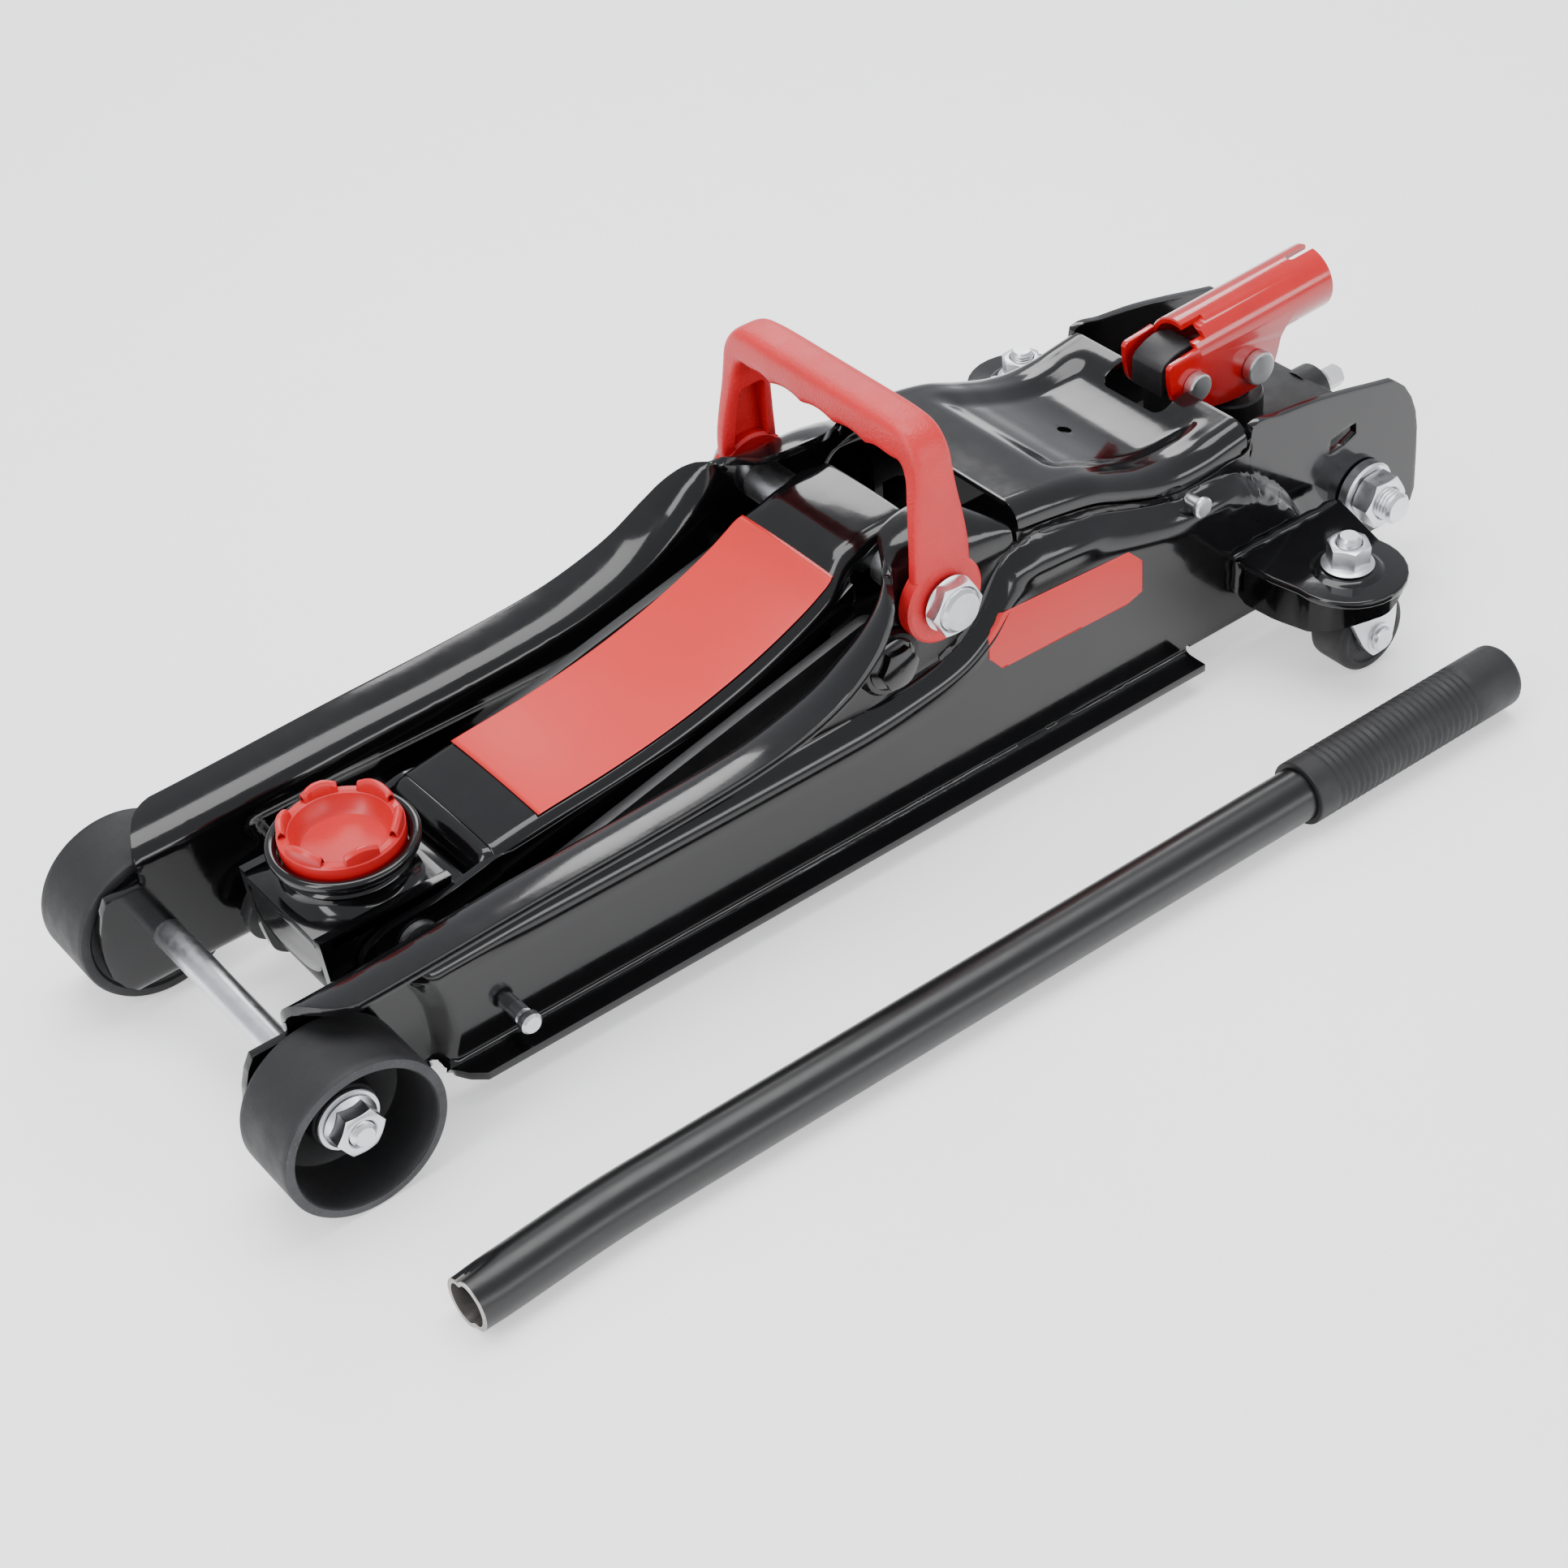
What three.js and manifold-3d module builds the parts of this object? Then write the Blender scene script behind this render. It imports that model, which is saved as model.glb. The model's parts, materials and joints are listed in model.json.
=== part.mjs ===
// Low-profile hydraulic floor jack with its loose handle bar, in millimetres, +Z up.
// Every length is first given in the jack's own frame: x runs from the front axle towards the
// handle end, y across the jack with 0 on its mid-plane, z up from the floor. The last lines
// centre the whole object over the origin.
import * as THREE from 'three';
import { mergeVertices } from 'three/addons/utils/BufferGeometryUtils.js';
import { ParametricGeometry } from 'three/addons/geometries/ParametricGeometry.js';
import Module from 'manifold-3d';

const wasm = await Module();
wasm.setup();

// ---- driving dimensions ----------------------------------------------------------------
const GAP = 0.3;
const FINEST = 0.02;
const WHEEL_R = 32.5;
const WHEEL_IN = 58;
const WHEEL_OUT = 90.5;
const AXLE_R = 6;
const SHEET = 3.5;
const WEB = 53.25;
const BULGE = 7;
const SHELF = 74.5;
const BASE_EDGE = 73.5;
const BASE_Z = 10;
const JOGGLE_R = 47.7;
const PIVOT = { x: 287, z: 104 };
const PIVOT_R = 9;
const LINK_PIVOT = { x: 264, z: 83 };
const SADDLE_PIN = { x: 60, z: 50 };
const LINK_PIN = {
  x: SADDLE_PIN.x + LINK_PIVOT.x - PIVOT.x,
  z: SADDLE_PIN.z + LINK_PIVOT.z - PIVOT.z,
};
const ARM_HALF = 33;
const ARM_REAR_HALF = 28.5;
const LEVER = 56;
const LEVER_ANGLE = THREE.MathUtils.degToRad(34);
const LEVER_PIN = {
  x: PIVOT.x + LEVER * Math.sin(LEVER_ANGLE),
  z: PIVOT.z - LEVER * Math.cos(LEVER_ANGLE),
};
const RAM_Z = 52;
const RAM_R = 13;
const CYLINDER_R = 27;
const BLOCK_FRONT = 456;
const BLOCK_REAR = 545;
const SADDLE_X = 54;
const SADDLE_Z = 82;
const SOCKET_PIVOT = { x: 463, z: 101.5 };
const ROLLER = { x: 498.5, z: 95.7 };
const SOCKET_TILT = THREE.MathUtils.degToRad(2.8);
const SOCKET_END = { x: 544.7, z: 114.5 };
const SOCKET_R = 14.5;
const SOCKET_BORE = 12;
const REAR_BOLT = { x: 523.5, z: 42 };
const CASTER = { x: 468.7, y: 99.6 };
const CASTER_TRAIL = 7.8;
const CASTER_R = 18;
const WING_Z = 50;
const COVER_FRONT = 331;
const COVER_REAR = 455.4;
const COVER_EDGE = 8;
const BAR_R = 11;
const GRIP_R = 13.5;

// ---- materials ---------------------------------------------------------------------------
const finish = (color, roughness, metalness) =>
  new THREE.MeshStandardMaterial({ color, roughness, metalness });
const FINISHES = {
  black: [0x0c0c0d, 0.12, 0.0],
  red: [0xd8121c, 0.25, 0.0],
  redPlastic: [0xd23a3a, 0.6, 0.0],
  zinc: [0xc9ced2, 0.3, 1.0],
  steel: [0x8c8f92, 0.35, 1.0],
  casting: [0x1b1b1c, 0.5, 0.3],
  rubber: [0x26272a, 0.75, 0.0],
};

// ---- geometry helpers ----------------------------------------------------------------------
const jack = new THREE.Group();

function solid(geometry) {
  geometry.deleteAttribute('normal');
  geometry.deleteAttribute('uv');
  const merged = mergeVertices(geometry, 1e-4);
  return new wasm.Manifold(new wasm.Mesh({
    numProp: 3,
    vertProperties: new Float32Array(merged.attributes.position.array),
    triVerts: new Uint32Array(merged.index.array),
  }));
}

function add(name, body, look, place = [0, 0, 0]) {
  const cut = body.simplify(FINEST).getMesh();
  const geometry = new THREE.BufferGeometry();
  geometry.setAttribute('position', new THREE.BufferAttribute(cut.vertProperties, 3));
  geometry.setIndex(new THREE.BufferAttribute(cut.triVerts, 1));
  const mesh = new THREE.Mesh(geometry, finish(...FINISHES[look]));
  mesh.name = name;
  mesh.position.set(...place);
  jack.add(mesh);
}

const union = (...bodies) => bodies.reduce((a, b) => a.add(b));
const without = (body, ...cutters) => cutters.reduce((a, b) => a.subtract(b), body);

function outline(points) {
  return new THREE.Shape(points.map(([a, b]) => new THREE.Vector2(a, b)));
}

// A plate standing in the x-z plane, from y0 to y1.
function plateY(shape, y0, y1, curveSegments = 5) {
  const geometry = new THREE.ExtrudeGeometry(
    shape, { depth: y1 - y0, bevelEnabled: false, curveSegments });
  geometry.rotateX(Math.PI / 2);
  geometry.translate(0, y1, 0);
  return solid(geometry);
}

// A plate lying in the x-y plane, from z0 to z1.
function plateZ(shape, z0, z1, curveSegments = 5) {
  const geometry = new THREE.ExtrudeGeometry(
    shape, { depth: z1 - z0, bevelEnabled: false, curveSegments });
  geometry.translate(0, 0, z0);
  return solid(geometry);
}

function box(x0, x1, y0, y1, z0, z1) {
  const geometry = new THREE.BoxGeometry(x1 - x0, y1 - y0, z1 - z0);
  geometry.translate((x0 + x1) / 2, (y0 + y1) / 2, (z0 + z1) / 2);
  return solid(geometry);
}

// Cylinders along y, z and x.
function rodY(r, y0, y1, x, z, sides = 18) {
  const geometry = new THREE.CylinderGeometry(r, r, y1 - y0, sides);
  geometry.translate(x, (y0 + y1) / 2, z);
  return solid(geometry);
}

function rodZ(r, z0, z1, x, y, sides = 18) {
  const geometry = new THREE.CylinderGeometry(r, r, z1 - z0, sides);
  geometry.rotateX(Math.PI / 2);
  geometry.translate(x, y, (z0 + z1) / 2);
  return solid(geometry);
}

function rodX(r, x0, x1, y, z, sides = 18) {
  const geometry = new THREE.CylinderGeometry(r, r, x1 - x0, sides);
  geometry.rotateZ(Math.PI / 2);
  geometry.translate((x0 + x1) / 2, y, z);
  return solid(geometry);
}

// A turned piece: [radius, height] profile that starts and ends on the axis.
function turned(profile, segments = 32) {
  return solid(new THREE.LatheGeometry(
    profile.map(([r, h]) => new THREE.Vector2(r, h)), segments));
}

function hexY(acrossFlats, y0, y1, x, z) {
  const geometry = new THREE.CylinderGeometry(
    acrossFlats / Math.sqrt(3), acrossFlats / Math.sqrt(3), y1 - y0, 6);
  geometry.translate(x, (y0 + y1) / 2, z);
  return solid(geometry);
}

function circle(shape, x, y, r) {
  shape.moveTo(x + r, y);
  shape.absarc(x, y, r, 0, Math.PI * 2, false);
  return shape;
}

function slotShape(x, z, length, width, angle) {
  const half = (length - width) / 2;
  const shape = new THREE.Shape();
  const dx = half * Math.cos(angle);
  const dz = half * Math.sin(angle);
  shape.absarc(x + dx, z + dz, width / 2, angle - Math.PI / 2, angle + Math.PI / 2, false);
  shape.absarc(x - dx, z - dz, width / 2, angle + Math.PI / 2, angle + Math.PI * 1.5, false);
  return shape;
}

const smooth = (a, b, t) => THREE.MathUtils.smoothstep(t, a, b);

// A value read off a smooth line through [x, value] points.
function along(points, x) {
  const last = points.length - 1;
  if (x <= points[0][0]) return points[0][1];
  if (x >= points[last][0]) return points[last][1];
  const i = points.findIndex(([px]) => px > x) - 1;
  const slope = (j) => {
    const a = points[Math.max(j - 1, 0)];
    const b = points[Math.min(j + 1, last)];
    return (b[1] - a[1]) / (b[0] - a[0]);
  };
  const [x0, v0] = points[i];
  const [x1, v1] = points[i + 1];
  const h = x1 - x0;
  const t = (x - x0) / h;
  return v0 * (2 * t ** 3 - 3 * t ** 2 + 1) + slope(i) * h * (t ** 3 - 2 * t ** 2 + t)
    + v1 * (3 * t ** 2 - 2 * t ** 3) + slope(i + 1) * h * (t ** 3 - t ** 2);
}

// A closed sheet: section(x) gives its mid-line as [y, z] points, the same number everywhere.
// The mid-line is offset half the thickness each way, and both ends close on it. The mid-line
// runs towards +y, or downwards where it stands upright.
function sheet(stations, section, thickness) {
  const rows = [stations[0], ...stations, stations[stations.length - 1]];
  const loops = rows.map((x, row) => {
    const line = section(x);
    const half = row === 0 || row === rows.length - 1 ? 0 : thickness / 2;
    const side = (sign) => line.map(([y, z], i) => {
      const [ya, za] = line[Math.max(i - 1, 0)];
      const [yb, zb] = line[Math.min(i + 1, line.length - 1)];
      const length = Math.hypot(yb - ya, zb - za);
      return [x, y - sign * half * (zb - za) / length, z + sign * half * (yb - ya) / length];
    });
    return [...side(-1), ...side(1).reverse()];
  });
  const around = loops[0].length;
  const point = (u, v, target) => {
    const row = loops[Math.round(v * (rows.length - 1))];
    target.set(...row[Math.round(u * around) % around]);
  };
  return solid(new ParametricGeometry(point, around, rows.length - 1));
}

const steps = (a, b, count) => Array.from({ length: count + 1 }, (_, i) => a + (b - a) * i / count);

// ---- side plates ---------------------------------------------------------------------------
// Free top edge: a shelf turned out over the front wheel, which swings in over the arm pivot as
// a hood, then stands up under the cover and runs back as the tall rear plate.
const COVER_TOP = [
  [331, 120.5], [350, 118], [371, 114], [388, 107.5], [403, 102.3], [417, 99.6], [432, 99.6],
  [444, 101.3], [455.4, 103],
];
const EDGE_OUT = [
  [-30, 74.5], [190, 74.5], [229, 74], [248, 71.5], [258, 66], [264, 58], [270, 46], [277, 36],
  [286, 32], [300, 31], [310, 35], [318, 42], [326, 50.5], [331, 53.2], [340, 53.25], [560, 53.25],
];
const EDGE_UP = [
  [-30, 74.8], [20, 75], [93, 78], [144, 79.5], [189, 82.5], [212, 87], [229, 93], [245, 103],
  [256, 112], [264, 119], [272, 123], [286, 125], [300, 125], [312, 121.5], [322, 116],
  [330, 110.8], [350, 107.8], [371, 103.6], [388, 97], [403, 91.9], [417, 89.3], [432, 89.4],
  [444, 91], [455.4, 92.6], [456.4, 101.5], [474, 100.5], [512, 95], [532, 91], [560, 84],
];
const EDGE_DROP = [
  [-30, 9], [212, 9], [240, 13], [262, 21], [286, 22], [306, 19], [322, 12], [331, 5], [560, 5],
];
const SHOULDER = [
  [-30, 66], [240, 66], [278, 69.5], [298, 75], [311, 85], [321, 98], [333, 105], [346, 104.5],
  [362, 101], [390, 92], [411, 87], [433, 87], [451, 82], [466, 72], [480, 57], [492, 37],
  [501, 12], [508, 0], [560, 0],
];

function webOffset(x, z) {
  const clearOfWheel = smooth(JOGGLE_R - 1, JOGGLE_R + 8, Math.hypot(x, z - WHEEL_R));
  const behind = x > 0 ? clearOfWheel : 0;
  return WEB + BULGE * behind * smooth(0, 10, along(SHOULDER, x) - z);
}

function plateSection(x) {
  const out = along(EDGE_OUT, x);
  const up = along(EDGE_UP, x);
  const join = up - along(EDGE_DROP, x);
  const bend = [0, 0.45, 0.75, 1].map((t) => {
    const a = (1 - t) ** 2;
    const b = 2 * t * (1 - t);
    return [a * out + b * WEB + t * t * WEB, a * up + b * up + t * t * join];
  });
  const foot = BASE_Z + SHEET / 2;
  const top = Math.max(Math.min(join - 4, along(SHOULDER, x) + 1), foot + 15);
  const levels = [0, 0.15, 0.35, 1].map((t) => top + (foot + 5 - top) * t);
  const web = levels.map((z) => [webOffset(x, z), z]);
  const low = webOffset(x, foot);
  return [...bend, ...web, [low + 2, foot + 1], [low + 5, foot], [BASE_EDGE, foot]];
}

// The plate's outline seen from the side: the rounded nose, the bottom edge and the tall tail.
function plateProfile() {
  const shape = new THREE.Shape();
  shape.moveTo(-3, 95);
  shape.lineTo(-5, 79);
  shape.bezierCurveTo(-17, 74, -26, 62, -26, 48);
  shape.lineTo(-26, 28);
  shape.bezierCurveTo(-26, 16, -20, BASE_Z, -8, BASE_Z);
  shape.lineTo(424, BASE_Z - 0.5);
  shape.lineTo(434, 15);
  shape.lineTo(548, 15);
  shape.quadraticCurveTo(559, 15, 559, 26);
  shape.lineTo(558, 62);
  shape.bezierCurveTo(557, 78, 550, 87, 534, 91);
  shape.lineTo(450, 140);
  shape.lineTo(-3, 140);
  return shape;
}

function shelfTip() {
  const shape = outline([[-40, 40], [-40, 90], [30, 90], [26, SHELF + 1]]);
  shape.bezierCurveTo(10, SHELF, 2, 66, -5, 52);
  shape.lineTo(-5, 40);
  return shape;
}

function sidePlate() {
  const stations = [
    -27, -5, 15, ...steps(38, 58, 3), 150, 189, ...steps(216, 324, 12), 333,
    ...steps(352, 452, 5), 455.4, 456.4, 480, 508, 530, 560,
  ];
  const baseFront = outline([[-40, 57], [47, 57], [58, 75], [58, 90], [-40, 90]]);
  const baseRear = outline([[580, 63.5], [424, 63.5], [417, 75], [417, 90], [580, 90]]);
  const body = sheet(stations, plateSection, SHEET)
    .intersect(plateY(plateProfile(), 20, 100));
  const tail = box(428, 600, 63.8, 100, -5, 60);
  return without(
    body,
    plateZ(shelfTip(), 60, 130),
    plateZ(baseFront, 0, 20),
    plateZ(baseRear, 0, 20),
    tail,
    rodY(AXLE_R + GAP, 40, 70, 0, WHEEL_R),
    rodY(PIVOT_R + GAP, 20, 80, PIVOT.x, PIVOT.z),
    rodY(6 + GAP, 40, 80, LINK_PIVOT.x, LINK_PIVOT.z),
    rodY(7 + GAP, 40, 80, REAR_BOLT.x, REAR_BOLT.z),
    rodY(3 + GAP, 40, 80, 421, 84, 12),
    rodY(3.5 + GAP, 40, 80, 79, 24, 12),
    plateY(slotShape(511, 72.5, 17, 5.5, 0.25), 40, 80, 4),
    box(327.4, 329.8, 40, 80, 105, 140),
  );
}

const farPlate = sidePlate();
const across = (body) => body.mirror([0, 1, 0]);
const both = (name, body, look) => {
  add(`${name}_far`, body, look);
  add(`${name}_near`, across(body), look);
};
both('side_plate', farPlate, 'black');

// ---- cover and base ------------------------------------------------------------------------
function coverSection(x) {
  const top = along(COVER_TOP, x) - 1;
  const half = WEB;
  const corner = [0, 30, 60, 90].map((deg) => {
    const a = THREE.MathUtils.degToRad(deg);
    return [half - COVER_EDGE * (1 - Math.cos(a)), top - COVER_EDGE * (1 - Math.sin(a))];
  });
  const skirt = [half, top - COVER_EDGE - 0.2];
  const right = [[20, top], ...corner.reverse(), skirt];
  const left = right.map(([y, z]) => [-y, z]).reverse();
  return [...left, ...right];
}
const cover = sheet(steps(COVER_FRONT, COVER_REAR, 16), coverSection, 2);
add('top_cover', without(
  cover,
  rodZ(3, 90, 130, 404, 0, 16),
  box(440, 460, -18, 18, 80, 120),
), 'black');

const braceHalf = WEB - SHEET / 2 - GAP;
add('front_brace', box(118, 168, -braceHalf, braceHalf, 12, 15.5), 'black');
const saddleWall = outline([
  [-braceHalf, 20], [braceHalf, 20], [braceHalf, 74], [40, 80], [-40, 80], [-braceHalf, 74],
]);
const mountPlate = new THREE.ExtrudeGeometry(saddleWall, { depth: 8, bevelEnabled: false });
mountPlate.rotateX(Math.PI / 2);
mountPlate.rotateZ(Math.PI / 2);
mountPlate.translate(356, 0, 0);
add('cylinder_mount', without(
  solid(mountPlate), rodX(CYLINDER_R + GAP, 340, 380, 0, RAM_Z, 32)), 'black');

// ---- front axle and wheels --------------------------------------------------------------------
add('front_axle', union(
  rodY(AXLE_R, -78, 78, 0, WHEEL_R), rodY(5, -89, 89, 0, WHEEL_R)), 'zinc');

function frontWheel() {
  const width = WHEEL_OUT - WHEEL_IN;
  const bore = AXLE_R + GAP;
  const profile = [
    [bore, 0.5], [WHEEL_R - 5, 0.5], [WHEEL_R - 3.5, 0], [WHEEL_R - 0.8, 0],
    [WHEEL_R, 1.2], [WHEEL_R, width - 1.2], [WHEEL_R - 0.8, width], [WHEEL_R - 4, width],
    [WHEEL_R - 4.6, width - 3], [WHEEL_R - 5.4, 8], [14, 7], [13, 18], [bore, 18], [bore, 0.5],
  ];
  const geometry = new THREE.LatheGeometry(
    profile.map(([r, h]) => new THREE.Vector2(r, h)), 36);
  geometry.translate(0, WHEEL_IN, 0);
  return solid(geometry).translate([0, 0, WHEEL_R]);
}
both('front_wheel', frontWheel(), 'rubber');
both('axle_washer', without(
  rodY(12.5, 76.3, 78.3, 0, WHEEL_R), rodY(AXLE_R + GAP, 70, 80, 0, WHEEL_R)), 'zinc');
both('axle_nut', without(
  hexY(17, 78.6, 87, 0, WHEEL_R), rodY(5 + GAP, 70, 95, 0, WHEEL_R)), 'zinc');

// ---- lift arm -------------------------------------------------------------------------------
const ARM_TOP = [
  [97, 69.5], [118, 72.5], [150, 75.5], [174, 79], [197, 84], [222, 91.5], [245, 101],
  [260, 109.5], [271, 116], [284, 118.5], [300, 119],
];
const armHalf = (x) => ARM_HALF - (ARM_HALF - ARM_REAR_HALF) * smooth(256, 270, x);

function armSection(x) {
  const top = along(ARM_TOP, x) - SHEET / 2;
  const half = armHalf(x) - SHEET / 2;
  const r = 5;
  const right = [
    [half, top - 20], [half, top - r], [half - 0.3 * r, top - 0.3 * r], [half - r, top],
    [half - 16, top + 0.6],
  ];
  const left = right.map(([y, z]) => [-y, z]);
  return [...left, ...right.reverse()];
}

function liftArm() {
  const top = sheet([...steps(97, 247, 6), ...steps(256, 300, 6)], armSection, SHEET);
  const cheek = new THREE.Shape();
  cheek.moveTo(48, 62);
  cheek.bezierCurveTo(40, 60, 37, 54, 38, 47);
  cheek.bezierCurveTo(40, 40, 50, 37, 60, 37);
  cheek.lineTo(120, 44);
  cheek.lineTo(200, 58);
  cheek.lineTo(250, 78);
  cheek.lineTo(266, 92);
  cheek.lineTo(266, 106);
  cheek.lineTo(236, 88);
  cheek.lineTo(190, 74);
  cheek.lineTo(140, 66);
  cheek.lineTo(96, 64.5);
  const side = plateY(cheek, ARM_HALF - SHEET, ARM_HALF);
  const lever = new THREE.Shape();
  lever.moveTo(240, 90);
  lever.lineTo(232, 76);
  lever.lineTo(262, 78);
  lever.lineTo(LEVER_PIN.x - 14, LEVER_PIN.z - 4);
  lever.absarc(LEVER_PIN.x, LEVER_PIN.z, 13, Math.PI * 1.1, Math.PI * 2.05, false);
  lever.lineTo(PIVOT.x + 20, PIVOT.z);
  lever.bezierCurveTo(PIVOT.x + 18, 112, PIVOT.x + 10, 114, PIVOT.x, 115.5);
  lever.lineTo(262, 106);
  const leverPlate = plateY(lever, ARM_REAR_HALF - 4.5, ARM_REAR_HALF);
  const tie = box(236, 252, -ARM_HALF + 1, ARM_HALF - 1, 80, 86);
  const half = union(side, leverPlate);
  return without(
    union(top, half, across(half), tie),
    rodY(PIVOT_R + GAP, -60, 60, PIVOT.x, PIVOT.z),
    rodY(6 + GAP, -60, 60, SADDLE_PIN.x, SADDLE_PIN.z),
    rodY(6 + GAP, -60, 60, LEVER_PIN.x, LEVER_PIN.z),
  );
}
add('lift_arm', liftArm(), 'black');
add('lever_pin', rodY(6, -27.5, 27.5, LEVER_PIN.x, LEVER_PIN.z), 'steel');
add('saddle_pin', union(
  rodY(6, -35.3, 35.3, SADDLE_PIN.x, SADDLE_PIN.z),
  rodY(8.5, 33.3, 35.3, SADDLE_PIN.x, SADDLE_PIN.z),
  rodY(8.5, -35.3, -33.3, SADDLE_PIN.x, SADDLE_PIN.z)), 'steel');

// ---- arm pivot, with the carry handle on its ends ------------------------------------------------
add('pivot_shaft', rodY(PIVOT_R, -73, 73, PIVOT.x, PIVOT.z), 'zinc');
both('pivot_nut', without(
  hexY(22, 63.6, 70.5, PIVOT.x, PIVOT.z), rodY(PIVOT_R + GAP, 60, 80, PIVOT.x, PIVOT.z)), 'zinc');

const EYE_IN = 55.6;
const EYE_OUT = 63;
function carryHandle() {
  const profile = new THREE.Shape();
  const low = PIVOT.z - 18;
  profile.moveTo(-EYE_OUT, low);
  profile.lineTo(-EYE_OUT, 124);
  profile.lineTo(-60, 148);
  profile.bezierCurveTo(-60, 170, -54, 178, -42, 178);
  profile.lineTo(42, 178);
  profile.bezierCurveTo(54, 178, 60, 170, 60, 148);
  profile.lineTo(EYE_OUT, 124);
  profile.lineTo(EYE_OUT, low);
  profile.lineTo(EYE_IN, low);
  profile.lineTo(EYE_IN, 124);
  profile.lineTo(52, 147);
  const scallops = 4;
  const pitch = 19;
  profile.quadraticCurveTo(50, 161, scallops * pitch / 2, 158);
  for (let i = 0; i < scallops; i += 1) {
    const right = (scallops / 2 - i) * pitch;
    profile.quadraticCurveTo(right - pitch / 2, 168, right - pitch, 158);
  }
  profile.quadraticCurveTo(-50, 161, -52, 147);
  profile.lineTo(-EYE_IN, 124);
  profile.lineTo(-EYE_IN, low);
  const geometry = new THREE.ExtrudeGeometry(
    profile, { depth: 40, bevelEnabled: false, curveSegments: 6 });
  geometry.rotateX(Math.PI / 2);
  geometry.rotateZ(Math.PI / 2);
  geometry.translate(PIVOT.x - 20, 0, 0);
  const side = new THREE.Shape();
  side.moveTo(PIVOT.x - 9.5, 180);
  side.lineTo(PIVOT.x + 9.5, 180);
  side.lineTo(PIVOT.x + 9.5, 152);
  side.lineTo(PIVOT.x + 14, 118);
  side.absarc(PIVOT.x, PIVOT.z, 18, 0.6, -Math.PI - 0.6, true);
  side.lineTo(PIVOT.x - 14, 118);
  side.lineTo(PIVOT.x - 9.5, 152);
  return without(
    solid(geometry).intersect(plateY(side, -80, 80, 10)),
    rodY(PIVOT_R + 0.6, -80, 80, PIVOT.x, PIVOT.z),
  );
}
add('carry_handle', carryHandle(), 'redPlastic');

// ---- saddle -----------------------------------------------------------------------------------
function saddleYoke() {
  const cheek = new THREE.Shape();
  cheek.moveTo(24, 66);
  cheek.lineTo(27, 36);
  cheek.bezierCurveTo(26, 22, 38, 17, 46, 23);
  cheek.lineTo(72, 44);
  cheek.bezierCurveTo(76, 50, 78, 56, 80, 66);
  const wall = plateY(cheek, 24.5, 28.5);
  const deck = plateZ(outline([
    [24, -28.5], [80, -28.5], [80, 28.5], [24, 28.5]]), 62, 67);
  const post = rodZ(21, 66, 71, SADDLE_X, 0, 32);
  return without(
    union(wall, across(wall), deck, post),
    rodY(6 + GAP, -40, 40, SADDLE_PIN.x, SADDLE_PIN.z),
    rodY(6 + GAP, -40, 40, LINK_PIN.x, LINK_PIN.z),
    rodZ(12 + GAP, 50, 90, SADDLE_X, 0, 24),
  );
}
add('saddle_yoke', saddleYoke(), 'black');

const seatFloor = 75;
const collar = [
  [0, 58], [14, 58], [14, 61.5], [12, 61.7], [12, 71.3], [24.5, 71.3], [25.5, 73.5], [23.5, 75],
  [27.4, 77], [28.6, 79], [28.6, 81], [27.8, SADDLE_Z], [24, SADDLE_Z], [23.3, 80], [23.3, seatFloor],
  [0, seatFloor],
];
const collarBody = turned(collar, 32).rotate([90, 0, 0]).translate([SADDLE_X, 0, 0]);
add('saddle_collar', collarBody, 'black');

function saddleCup() {
  const profile = [
    [0, seatFloor + GAP], [22.8, seatFloor + GAP], [22.8, 88], [21.8, 89.5], [18.6, 89.5],
    [17.6, 88], [16.6, 78.5], [0, 78.5],
  ];
  const cup = turned(profile, 32).rotate([90, 0, 0]).translate([SADDLE_X, 0, 0]);
  const notches = steps(0, 4, 4).map((i) => box(14, 26, -3.2, 3.2, 85, 95)
    .rotate([0, 0, i * 72 + 20]).translate([SADDLE_X, 0, 0]));
  return without(cup, ...notches);
}
add('saddle_cup', saddleCup(), 'red');

// ---- levelling links --------------------------------------------------------------------------
function levelLink() {
  const dx = LINK_PIVOT.x - LINK_PIN.x;
  const dz = LINK_PIVOT.z - LINK_PIN.z;
  const bar = slotShape(
    (LINK_PIVOT.x + LINK_PIN.x) / 2, (LINK_PIVOT.z + LINK_PIN.z) / 2,
    Math.hypot(dx, dz) + 22, 22, Math.atan2(dz, dx));
  return without(
    plateY(bar, 37, 42, 8),
    rodY(6 + GAP, 30, 50, LINK_PIVOT.x, LINK_PIVOT.z),
    rodY(6 + GAP, 30, 50, LINK_PIN.x, LINK_PIN.z),
  );
}
both('level_link', levelLink(), 'casting');
add('link_pin', union(
  rodY(6, -45, 45, LINK_PIN.x, LINK_PIN.z),
  hexY(17, 42.3, 47, LINK_PIN.x, LINK_PIN.z),
  hexY(17, -47, -42.3, LINK_PIN.x, LINK_PIN.z)), 'steel');
both('link_bolt', union(
  rodY(6, 36, 58, LINK_PIVOT.x, LINK_PIVOT.z),
  hexY(16, 62.4, 66, LINK_PIVOT.x, LINK_PIVOT.z),
  rodY(6, 57, 63, LINK_PIVOT.x, LINK_PIVOT.z)), 'black');

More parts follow.
